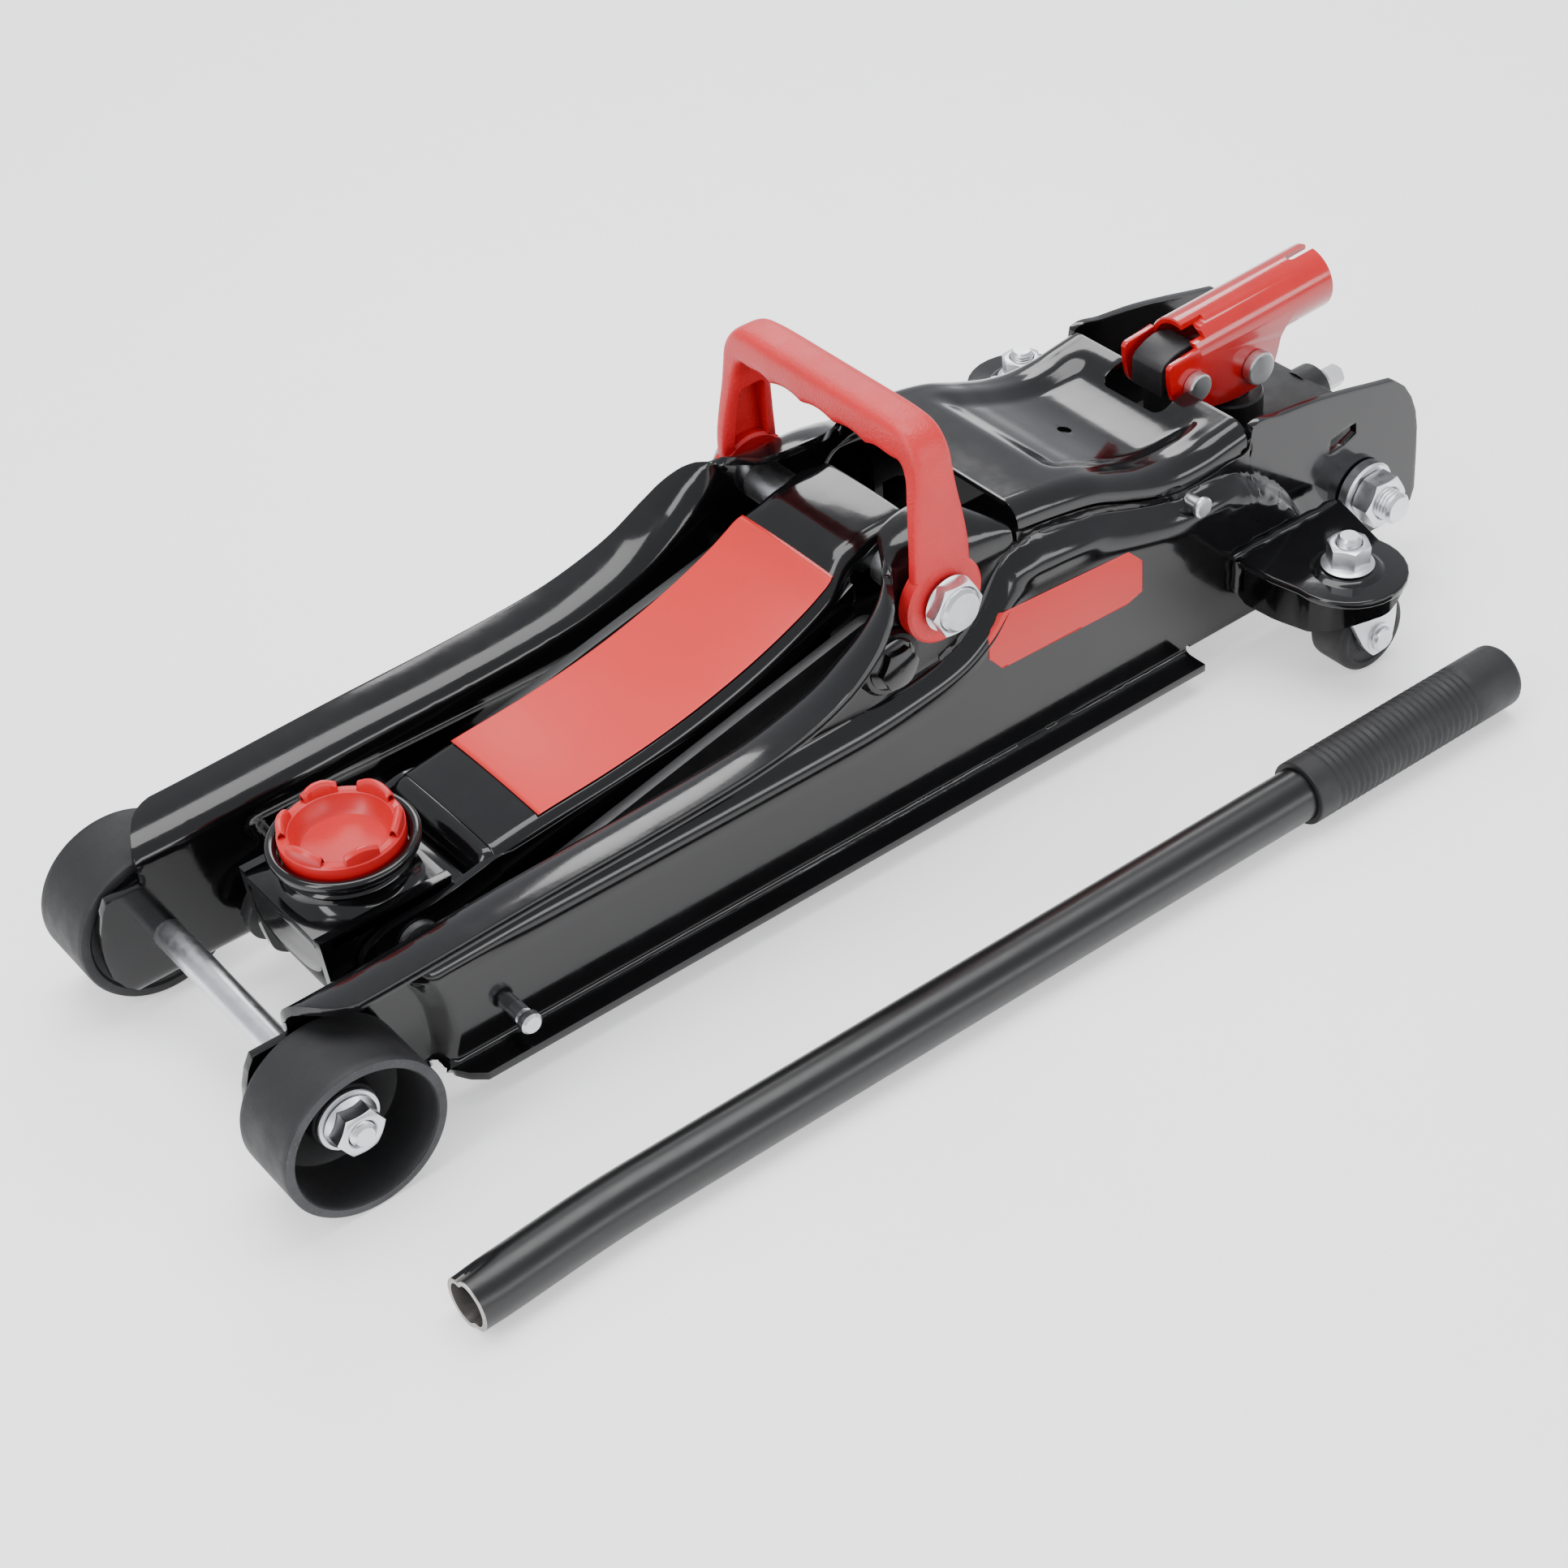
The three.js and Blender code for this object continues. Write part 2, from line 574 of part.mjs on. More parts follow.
// ---- hydraulic unit -----------------------------------------------------------------------------
add('cylinder_tube', without(
  rodX(CYLINDER_R, 350, BLOCK_FRONT - GAP, 0, RAM_Z, 32),
  rodX(RAM_R + GAP, 300, BLOCK_FRONT - 4, 0, RAM_Z, 32)), 'casting');
add('ram_rod', rodX(RAM_R, 334, BLOCK_FRONT - 8, 0, RAM_Z, 32), 'steel');
const forkSlot = slotShape(LEVER_PIN.x, (LEVER_PIN.z + PIVOT.z - LEVER) / 2, 24.5, 14, Math.PI / 2);
const forkSide = outline([[304, 36], [304, 70], [333.7, 70], [333.7, 36]]);
add('ram_fork', without(
  plateY(forkSide, -14, 14), plateY(forkSlot, -20, 20, 10)), 'casting');

function pumpBlock() {
  const ear = new THREE.Shape();
  ear.moveTo(449.5, 60);
  ear.absarc(SOCKET_PIVOT.x, SOCKET_PIVOT.z, 15.5, Math.PI * 0.83, 0, true);
  ear.lineTo(478.5, 60);
  return without(
    union(
      box(BLOCK_FRONT, BLOCK_REAR, -33, 33, 24, 66),
      plateY(ear, -9, 9, 8),
      rodZ(15, 60, 78, ROLLER.x, 0, 24),
      rodX(11, 540, 552, 0, 56, 20),
    ),
    rodY(5.2 + GAP, -20, 20, SOCKET_PIVOT.x, SOCKET_PIVOT.z, 16),
    rodZ(8 + GAP, 50, 90, ROLLER.x, 0, 20),
    rodY(7 + GAP, -40, 40, REAR_BOLT.x, REAR_BOLT.z),
    rodX(7 + GAP, 532, 560, 0, 56, 16),
    box(440, 456, -40, 40, 20, 98),
  );
}
add('pump_block', pumpBlock(), 'casting');
add('pump_plunger', rodZ(8, 56, 88.2, ROLLER.x, 0, 20), 'steel');
add('release_valve', union(
  rodX(7, 538, 556, 0, 56, 16), rodX(5, 555, 566, 0, 56, 6)), 'steel');

// ---- handle socket --------------------------------------------------------------------------------
function handleSocket() {
  const length = 79;
  const tube = rodX(SOCKET_R, -length, 0, 0, 0, 32);
  const bore = rodX(SOCKET_BORE, -length - 30, 10, 0, 0, 32);
  const slot = box(-22, 10, -2.2, 2.2, 5, 30);
  const open = box(-length - 10, -30, -SOCKET_BORE, SOCKET_BORE, -40, 0);
  const place = (body) => body
    .rotate([0, THREE.MathUtils.radToDeg(-SOCKET_TILT), 0])
    .translate([SOCKET_END.x, 0, SOCKET_END.z]);
  const cheek = new THREE.Shape();
  cheek.moveTo(449, 115);
  cheek.lineTo(449.5, 106);
  cheek.bezierCurveTo(451, 98, 455, 92, 463, 89.5);
  cheek.bezierCurveTo(474, 84, 496, 82, 506, 86);
  cheek.bezierCurveTo(512, 89, 512, 96, 514, 103);
  cheek.lineTo(522, 113.5);
  cheek.lineTo(468, 111);
  cheek.lineTo(466, 117);
  const side = plateY(cheek, SOCKET_BORE, SOCKET_R);
  const tail = outline([[520, 106], [523, 92], [541, 90], [547, 98], [543, 106]]);
  return without(
    union(place(tube), side, across(side), plateY(tail, 8, 10.5)),
    place(bore),
    place(slot),
    place(open),
    rodY(5.2 + GAP, -30, 30, SOCKET_PIVOT.x, SOCKET_PIVOT.z, 16),
    rodY(6 + GAP, -30, 30, ROLLER.x, ROLLER.z, 16),
  );
}
add('handle_socket', handleSocket(), 'red');
const socketPin = (r, head, spot) => union(
  rodY(r, -19.5, 19.5, spot.x, spot.z, 16),
  rodY(head, SOCKET_R + GAP, 19.5, spot.x, spot.z, 16),
  rodY(head, -19.5, -SOCKET_R - GAP, spot.x, spot.z, 16));
add('socket_pivot_pin', socketPin(5.2, 6.4, SOCKET_PIVOT), 'zinc');
add('socket_roller_pin', socketPin(6, 7.5, ROLLER), 'zinc');

// ---- rear cross bolt --------------------------------------------------------------------------------
add('rear_cross_bolt', rodY(7, -78, 78, REAR_BOLT.x, REAR_BOLT.z), 'zinc');
const boltHole = rodY(7 + GAP, 40, 90, REAR_BOLT.x, REAR_BOLT.z);
both('rear_spacer', without(rodY(14, 55.3, 61, REAR_BOLT.x, REAR_BOLT.z), boltHole), 'zinc');
both('rear_nut', without(hexY(21, 61.3, 71, REAR_BOLT.x, REAR_BOLT.z), boltHole), 'zinc');

// ---- casters ------------------------------------------------------------------------------------
function wing() {
  const { x, y } = CASTER;
  const root = WEB + BULGE + SHEET / 2 + GAP;
  const shape = new THREE.Shape();
  shape.moveTo(443, root);
  shape.lineTo(440, 70);
  shape.lineTo(x - 25, y - 4);
  shape.absarc(x, y, 25, Math.PI * 1.05, -Math.PI * 0.06, true);
  shape.lineTo(503, root);
  const skirt = new THREE.Shape();
  skirt.moveTo(443, root);
  skirt.lineTo(440, 70);
  skirt.lineTo(x - 25, y - 4);
  skirt.absarc(x, y, 25, Math.PI * 1.05, Math.PI * 0.45, true);
  skirt.absarc(x, y, 22, Math.PI * 0.45, Math.PI * 1.05, false);
  skirt.lineTo(443.5, 71);
  skirt.lineTo(446, root);
  const taper = outline([[430, 0], [430, 33], [446, 33], [470, 41], [500, 44], [500, 0]]);
  return without(
    union(
      plateZ(shape, WING_Z - SHEET, WING_Z, 12),
      plateZ(skirt, 30, WING_Z - 1, 12),
      rodZ(14, WING_Z - 1, WING_Z + 1.5, x, y, 24),
    ),
    plateY(taper, 50, 140),
    rodZ(5 + GAP, 30, 70, x, y, 16),
  );
}
both('caster_bracket', wing(), 'black');

const CASTER_X = CASTER.x + CASTER_TRAIL;
both('caster_bolt', union(
  rodZ(5, 39, 66, CASTER.x, CASTER.y, 16),
  rodZ(8, 36.5, 39.5, CASTER.x, CASTER.y, 16)), 'zinc');
const nutTop = new THREE.CylinderGeometry(9.2, 9.2, 9, 6);
nutTop.rotateX(Math.PI / 2);
nutTop.translate(CASTER.x, CASTER.y, 58.3);
both('caster_nut', without(
  union(solid(nutTop), rodZ(11, WING_Z + 1.8, WING_Z + 4, CASTER.x, CASTER.y, 20)),
  rodZ(5 + GAP, 40, 80, CASTER.x, CASTER.y, 16)), 'zinc');

function casterFork() {
  const cheek = new THREE.Shape();
  cheek.moveTo(CASTER.x - 13, 46);
  cheek.lineTo(CASTER_X - 8, 15);
  cheek.absarc(CASTER_X, CASTER_R, 9, Math.PI * 1.1, Math.PI * 1.95, false);
  cheek.lineTo(CASTER.x + 16, 46);
  const gap = 10.4;
  const wall = plateY(cheek, CASTER.y + gap, CASTER.y + gap + 2.5);
  const other = plateY(cheek, CASTER.y - gap - 2.5, CASTER.y - gap);
  const top = plateZ(circle(new THREE.Shape(), CASTER.x + 1, CASTER.y, 16.5), 43, 46, 12);
  return without(
    union(wall, other, top),
    rodZ(5 + GAP, 30, 60, CASTER.x, CASTER.y, 16),
    rodY(3.5 + GAP, 70, 130, CASTER_X, CASTER_R, 16),
  );
}
both('caster_fork', casterFork(), 'zinc');
both('caster_axle', union(
  rodY(3.5, CASTER.y - 16, CASTER.y + 16, CASTER_X, CASTER_R, 16),
  rodY(5.5, CASTER.y + 13.2, CASTER.y + 16, CASTER_X, CASTER_R, 16),
  rodY(5.5, CASTER.y - 16, CASTER.y - 13.2, CASTER_X, CASTER_R, 16)), 'zinc');

function casterWheel() {
  const half = 9.6;
  const profile = [
    [3.8, -half], [13.5, -half], [14.5, -half + 1], [16.5, -half], [CASTER_R - 0.6, -half + 0.6],
    [CASTER_R, -half + 2], [CASTER_R, half - 2], [CASTER_R - 0.6, half - 0.6], [16.5, half],
    [14.5, half - 1], [13.5, half], [3.8, half], [3.8, -half],
  ];
  const wheel = new THREE.LatheGeometry(profile.map(([r, h]) => new THREE.Vector2(r, h)), 24);
  wheel.translate(0, CASTER.y, 0);
  return solid(wheel).translate([CASTER_X, 0, CASTER_R]);
}
both('caster_wheel', casterWheel(), 'rubber');

// ---- small fastenings ------------------------------------------------------------------------------
both('stud_pin', union(
  rodY(3.5, 55, 74, 79, 24, 12), rodY(4.6, 70, 72.5, 79, 24, 12)), 'zinc');
both('cover_pin', union(
  rodY(3, 49, 57, 421, 84, 12), rodY(4.4, 62.4, 65, 421, 84, 12), rodY(3, 56, 63, 421, 84, 12)), 'zinc');

// ---- handle bar, lying on the floor beside the jack ---------------------------------------------------
const BAR_BEND = new THREE.Vector3(52, -153.8, BAR_R);
const BAR_FRONT = new THREE.Vector3(-7, -157.7, BAR_R);
const BAR_REAR = new THREE.Vector3(497, -159.2, GRIP_R + 0.9);
const GRIP_LENGTH = 114;

function tube(outer, inner, curve, count, sides) {
  const ring = circle(new THREE.Shape(), 0, 0, outer);
  ring.holes.push(circle(new THREE.Path(), 0, 0, inner));
  return solid(new THREE.ExtrudeGeometry(
    ring, { extrudePath: curve, steps: count, curveSegments: sides }));
}

const barAxis = new THREE.Vector3().subVectors(BAR_REAR, BAR_BEND).normalize();
const bendOut = BAR_BEND.clone().addScaledVector(barAxis, 16);
const bendIn = BAR_BEND.clone().add(
  new THREE.Vector3().subVectors(BAR_FRONT, BAR_BEND).normalize().multiplyScalar(16));
const barPath = new THREE.CurvePath();
barPath.add(new THREE.LineCurve3(BAR_FRONT, bendIn));
barPath.add(new THREE.QuadraticBezierCurve3(bendIn, BAR_BEND, bendOut));
barPath.add(new THREE.LineCurve3(bendOut, BAR_REAR.clone().addScaledVector(barAxis, -4)));
add('handle_bar', tube(BAR_R, BAR_R - 2, barPath, 12, 9), 'black');

const gripStart = BAR_REAR.clone().addScaledVector(barAxis, -GRIP_LENGTH);
const gripPath = new THREE.LineCurve3(gripStart, BAR_REAR);
const gripSleeve = tube(GRIP_R, BAR_R + GAP, gripPath, 1, 9);
const capPath = new THREE.LineCurve3(BAR_REAR.clone().addScaledVector(barAxis, -3.6), BAR_REAR);
const gripCap = solid(new THREE.ExtrudeGeometry(
  circle(new THREE.Shape(), 0, 0, GRIP_R), { extrudePath: capPath, steps: 1, curveSegments: 12 }));
add('bar_grip', union(gripSleeve, gripCap), 'rubber');

// ---- the whole object, centred over the origin -------------------------------------------------------
const assembly = new THREE.Group();
assembly.add(jack);
const bounds = new THREE.Box3().setFromObject(jack, true);
const middle = bounds.getCenter(new THREE.Vector3());
jack.position.set(-middle.x, -middle.y, 0);

export default assembly;
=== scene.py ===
"""Looks of a low-profile hydraulic floor jack and its loose handle bar."""
import bmesh
import bpy
import json
import math
from mathutils import Matrix, Vector


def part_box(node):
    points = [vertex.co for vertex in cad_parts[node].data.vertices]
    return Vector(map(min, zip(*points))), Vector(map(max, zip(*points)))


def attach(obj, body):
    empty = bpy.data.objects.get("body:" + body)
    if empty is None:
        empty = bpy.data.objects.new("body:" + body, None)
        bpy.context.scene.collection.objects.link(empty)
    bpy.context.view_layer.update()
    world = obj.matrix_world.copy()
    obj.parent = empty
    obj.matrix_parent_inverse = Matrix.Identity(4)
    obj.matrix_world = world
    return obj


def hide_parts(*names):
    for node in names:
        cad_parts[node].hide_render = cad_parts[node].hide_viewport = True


bl_info = {
    "name": "Hydraulic floor jack",
    "version": (1, 0, 0),
    "blender": (4, 5, 0),
    "location": "View3D > Sidebar > Jack",
    "description": "Builds the painted, plated and moulded pieces of a floor jack",
    "category": "Add Mesh",
}

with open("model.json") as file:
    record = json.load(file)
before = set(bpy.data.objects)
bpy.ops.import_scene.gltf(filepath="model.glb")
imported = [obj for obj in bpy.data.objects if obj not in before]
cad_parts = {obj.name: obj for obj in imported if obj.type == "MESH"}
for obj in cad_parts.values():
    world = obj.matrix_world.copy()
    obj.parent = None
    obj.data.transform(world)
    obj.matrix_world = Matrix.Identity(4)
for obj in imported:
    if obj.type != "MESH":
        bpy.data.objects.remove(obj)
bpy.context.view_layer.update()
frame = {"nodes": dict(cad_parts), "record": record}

# Sizes below are millimetres in the jack's own frame: x from the front axle towards the pump,
# y across from the mid-plane, z up from the floor.
_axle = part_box("front_axle")
AXLE = (_axle[0] + _axle[1]) / 2
PLACE = Matrix.Translation((AXLE.x, AXLE.y, 0)) @ Matrix.Scale(0.001, 4)
AXLE_Z = AXLE.z * 1000
PIVOT = Vector((287, 0, 104))
LINK_PIVOT = Vector((264, 0, 83))
SADDLE_PIN = Vector((60, 0, 50))
LINK_PIN = Vector((37, 0, 29))
LEVER_PIN = Vector((318.3, 0, 57.6))
SOCKET_PIVOT = Vector((463, 0, 101.5))
ROLLER = Vector((498.5, 0, 95.7))
REAR_BOLT = Vector((523.5, 0, 42))
CASTER = Vector((468.7, 99.6, 0))
CASTER_HUB = Vector((476.5, 0, 18))
SADDLE = Vector((54, 0, 0))
CYLINDER = Vector((0, 0, 52))
VALVE = Vector((0, 0, 56))
FOOT_STUD = Vector((79, 0, 24))
COVER_ENDS = (331, 455.4)
ARM_ENDS = (97, 300)
LABEL_ENDS = (118.5, 260.4)
SHEET = 3.5
WEB = 53.25
BULGE = 7
SIDES = {"far": 1, "near": -1}

# A finish and the slot it belongs to.
POWDER = ("powder coat", "black_paint")
GLOSS = ("red gloss", "red_paint")
MOULDED = ("grained plastic", "red_plastic")
LABEL = ("label print", "red_paint")
ZINC = ("bright zinc", "zinc")
STEEL = ("machined steel", "steel")
CASTING = ("dark casting", "casting")


# ---- values a user would change ------------------------------------------------------------

def length(name, description, default):
    return bpy.props.FloatProperty(
        name=name, description=description, default=default, min=0.0, subtype="DISTANCE", unit="LENGTH")


def colour(name, description, default):
    return bpy.props.FloatVectorProperty(
        name=name, description=description, default=default, size=4, min=0, max=1, subtype="COLOR")


class JACK_PG_sizes(bpy.types.PropertyGroup):
    """Sizes of the jack that can be changed without touching the frame."""
    wheel_radius: length("Wheel radius", "Radius of the front wheels", AXLE.z)
    sheet: length("Sheet", "Thickness of the pressed side plates", SHEET / 1000)
    edge: length("Edge", "Rounding of sheared sheet edges", 0.0007)
    grip_ribs: bpy.props.IntProperty(
        name="Grip ribs", description="Number of ribs around the bar's grip", default=24, min=4)
    cup_tabs: bpy.props.IntProperty(
        name="Cup tabs", description="Number of raised tabs around the saddle cup", default=6, min=3)


class JACK_PG_colours(bpy.types.PropertyGroup):
    """Colours of the jack's finishes."""
    black: colour("Black paint", "Gloss powder coat on the steelwork", (0.0035, 0.0035, 0.004, 1))
    red: colour("Red paint", "Gloss paint on the handle socket", (0.46, 0.001, 0.003, 1))
    handle: colour("Red plastic", "Grained plastic of the carry handle", (0.54, 0.009, 0.014, 1))
    cup: colour("Cup", "Smooth plastic of the saddle cup", (0.54, 0.009, 0.012, 1))
    label: colour("Label", "Printed label on arm and side plates", (0.60, 0.016, 0.014, 1))
    zinc: colour("Zinc", "Plating of bolts, nuts and axles", (0.70, 0.71, 0.73, 1))
    casting: colour("Casting", "Dark paint of the pump and links", (0.010, 0.010, 0.011, 1))
    wheel: colour("Wheel", "Moulded wheels", (0.011, 0.011, 0.012, 1))
    rubber: colour("Rubber", "Grip of the bar", (0.010, 0.010, 0.011, 1))


# ---- shared shader groups -------------------------------------------------------------------

# A Mix node's colour sockets share their names with its other sockets, so they go by number.
MIX_A, MIX_B, MIX_RESULT = 6, 7, 2


def group(name, inputs, outputs):
    """An empty node group with its sockets and its two end nodes."""
    tree = bpy.data.node_groups.new(name, "ShaderNodeTree")
    for label, kind, value in inputs:
        socket = tree.interface.new_socket(name=label, in_out="INPUT", socket_type=kind)
        if value is not None:
            socket.default_value = value
    for label, kind in outputs:
        tree.interface.new_socket(name=label, in_out="OUTPUT", socket_type=kind)
    return tree, tree.nodes.new("NodeGroupInput"), tree.nodes.new("NodeGroupOutput")


def node(tree, kind, links=(), **values):
    """A shader node, with its sockets linked or set to a value."""
    made = tree.nodes.new(kind)
    for key, value in values.items():
        setattr(made, key, value)
    for socket, source in links:
        if isinstance(source, bpy.types.NodeSocket):
            tree.links.new(source, made.inputs[socket])
        else:
            made.inputs[socket].default_value = source
    return made


def noise(tree, vector, scale, detail=3.0, roughness=0.5):
    return node(tree, "ShaderNodeTexNoise", (
        ("Vector", vector), ("Scale", scale), ("Detail", detail), ("Roughness", roughness)))


def build_groups():
    """Grain: fine relief. Mottle: a value that drifts. Specks: scattered marks. Worn: rubbed edges."""
    tree, inside, outside = group("Grain", (
        ("Vector", "NodeSocketVector", None), ("Scale", "NodeSocketFloat", 900.0),
        ("Depth", "NodeSocketFloat", 0.00001), ("Cells", "NodeSocketFloat", 0.0)),
        (("Normal", "NodeSocketVector"),))
    soft = noise(tree, inside.outputs["Vector"], inside.outputs["Scale"], 2.0)
    cells = node(tree, "ShaderNodeTexVoronoi", (
        ("Vector", inside.outputs["Vector"]), ("Scale", inside.outputs["Scale"])),
        feature="SMOOTH_F1")
    blend = node(tree, "ShaderNodeMix", (
        ("Factor", inside.outputs["Cells"]), ("A", soft.outputs["Fac"]),
        ("B", cells.outputs["Distance"])))
    bump = node(tree, "ShaderNodeBump", (
        ("Strength", 1.0), ("Distance", inside.outputs["Depth"]), ("Height", blend.outputs["Result"])))
    tree.links.new(bump.outputs["Normal"], outside.inputs["Normal"])

    tree, inside, outside = group("Mottle", (
        ("Vector", "NodeSocketVector", None), ("Scale", "NodeSocketFloat", 60.0),
        ("Low", "NodeSocketFloat", 0.2), ("High", "NodeSocketFloat", 0.4)),
        (("Value", "NodeSocketFloat"),))
    wide = noise(tree, inside.outputs["Vector"], inside.outputs["Scale"], 6.0, 0.6)
    span = node(tree, "ShaderNodeMapRange", (
        ("Value", wide.outputs["Fac"]), ("From Min", 0.3), ("From Max", 0.7),
        ("To Min", inside.outputs["Low"]), ("To Max", inside.outputs["High"])))
    tree.links.new(span.outputs["Result"], outside.inputs["Value"])

    tree, inside, outside = group("Specks", (
        ("Vector", "NodeSocketVector", None), ("Scale", "NodeSocketFloat", 300.0),
        ("Cover", "NodeSocketFloat", 0.1)), (("Mask", "NodeSocketFloat"),))
    spots = node(tree, "ShaderNodeTexVoronoi", (
        ("Vector", inside.outputs["Vector"]), ("Scale", inside.outputs["Scale"]), ("Randomness", 1.0)))
    mask = node(tree, "ShaderNodeMapRange", (
        ("Value", spots.outputs["Distance"]), ("From Min", inside.outputs["Cover"]),
        ("From Max", 0.0), ("To Min", 0.0), ("To Max", 1.0)))
    tree.links.new(mask.outputs["Result"], outside.inputs["Mask"])

    tree, inside, outside = group("Worn edges", (
        ("Radius", "NodeSocketFloat", 0.001), ("Amount", "NodeSocketFloat", 1.0),
        ("Vector", "NodeSocketVector", None)), (("Mask", "NodeSocketFloat"),))
    round_normal = node(tree, "ShaderNodeBevel", (("Radius", inside.outputs["Radius"]),), samples=4)
    true_normal = node(tree, "ShaderNodeNewGeometry")
    dot = node(tree, "ShaderNodeVectorMath", (
        (0, round_normal.outputs["Normal"]), (1, true_normal.outputs["Normal"])),
        operation="DOT_PRODUCT")
    edge = node(tree, "ShaderNodeMapRange", (
        ("Value", dot.outputs["Value"]), ("From Min", 0.99), ("From Max", 0.85)))
    patchy = noise(tree, inside.outputs["Vector"], 140.0, 4.0, 0.7)
    broken = node(tree, "ShaderNodeMapRange", (
        ("Value", patchy.outputs["Fac"]), ("From Min", 0.45), ("From Max", 0.65)))
    both = node(tree, "ShaderNodeMath", (
        (0, edge.outputs["Result"]), (1, broken.outputs["Result"])), operation="MULTIPLY")
    amount = node(tree, "ShaderNodeMath", (
        (0, both.outputs["Value"]), (1, inside.outputs["Amount"])), operation="MULTIPLY")
    tree.links.new(amount.outputs["Value"], outside.inputs["Mask"])


def placed(tree, name, links):
    """One of the shared groups, set in a material."""
    return node(tree, "ShaderNodeGroup", links, node_tree=bpy.data.node_groups[name])


def marked(tree, mask, tint, matte, finish, polish):
    """Lays a tint and its own roughness over a finish where the mask is bright."""
    mix = node(tree, "ShaderNodeMix", (
        ("Factor", mask.outputs["Mask"]), (MIX_A, finish), (MIX_B, (*tint, 1))), data_type="RGBA")
    rougher = node(tree, "ShaderNodeMix", (
        ("Factor", mask.outputs["Mask"]), ("A", polish), ("B", matte)))
    return mix.outputs[MIX_RESULT], rougher.outputs["Result"]


def material(name, base, rough, metallic=0.0, coat=0.0, coat_rough=0.05, grain=None, tone=0.12,
             tone_scale=35.0, specks=None, worn=None, specular=0.5, stretch=(1, 1, 1)):
    """One finish: base colour with a drift in tone, a range of roughness, fine relief, specks."""
    made = bpy.data.materials.new(name)
    made.use_nodes = True
    tree = made.node_tree
    shader = tree.nodes["Principled BSDF"]
    shader.inputs["Metallic"].default_value = metallic
    shader.inputs["Coat Weight"].default_value = coat
    shader.inputs["Coat Roughness"].default_value = coat_rough
    shader.inputs["Specular IOR Level"].default_value = specular
    place = node(tree, "ShaderNodeMapping", (
        ("Vector", node(tree, "ShaderNodeTexCoord").outputs["Object"]), ("Scale", stretch)))
    where = place.outputs["Vector"]
    drift = placed(tree, "Mottle", (
        ("Vector", where), ("Scale", tone_scale), ("Low", 0.0), ("High", 1.0)))
    dark = tuple(c * (1 - tone) for c in base[:3]) + (1,)
    light = tuple(min(1, c * (1 + tone)) for c in base[:3]) + (1,)
    tint_mix = node(tree, "ShaderNodeMix", (
        ("Factor", drift.outputs["Value"]), (MIX_A, dark), (MIX_B, light)), data_type="RGBA")
    finish = tint_mix.outputs[MIX_RESULT]
    gloss = placed(tree, "Mottle", (
        ("Vector", where), ("Scale", tone_scale * 3), ("Low", rough[0]), ("High", rough[1])))
    polish = gloss.outputs["Value"]
    if specks:
        cover, scale, tint, matte = specks
        mask = placed(tree, "Specks", (("Vector", where), ("Scale", scale), ("Cover", cover)))
        finish, polish = marked(tree, mask, tint, matte, finish, polish)
    if worn:
        radius, amount, tint, matte = worn
        mask = placed(tree, "Worn edges", (
            ("Radius", radius), ("Amount", amount), ("Vector", where)))
        finish, polish = marked(tree, mask, tint, matte, finish, polish)
    tree.links.new(finish, shader.inputs["Base Color"])
    tree.links.new(polish, shader.inputs["Roughness"])
    if grain:
        scale, depth, cells = grain
        relief = placed(tree, "Grain", (
            ("Vector", where), ("Scale", scale), ("Depth", depth), ("Cells", cells)))
        tree.links.new(relief.outputs["Normal"], shader.inputs["Normal"])
    return made


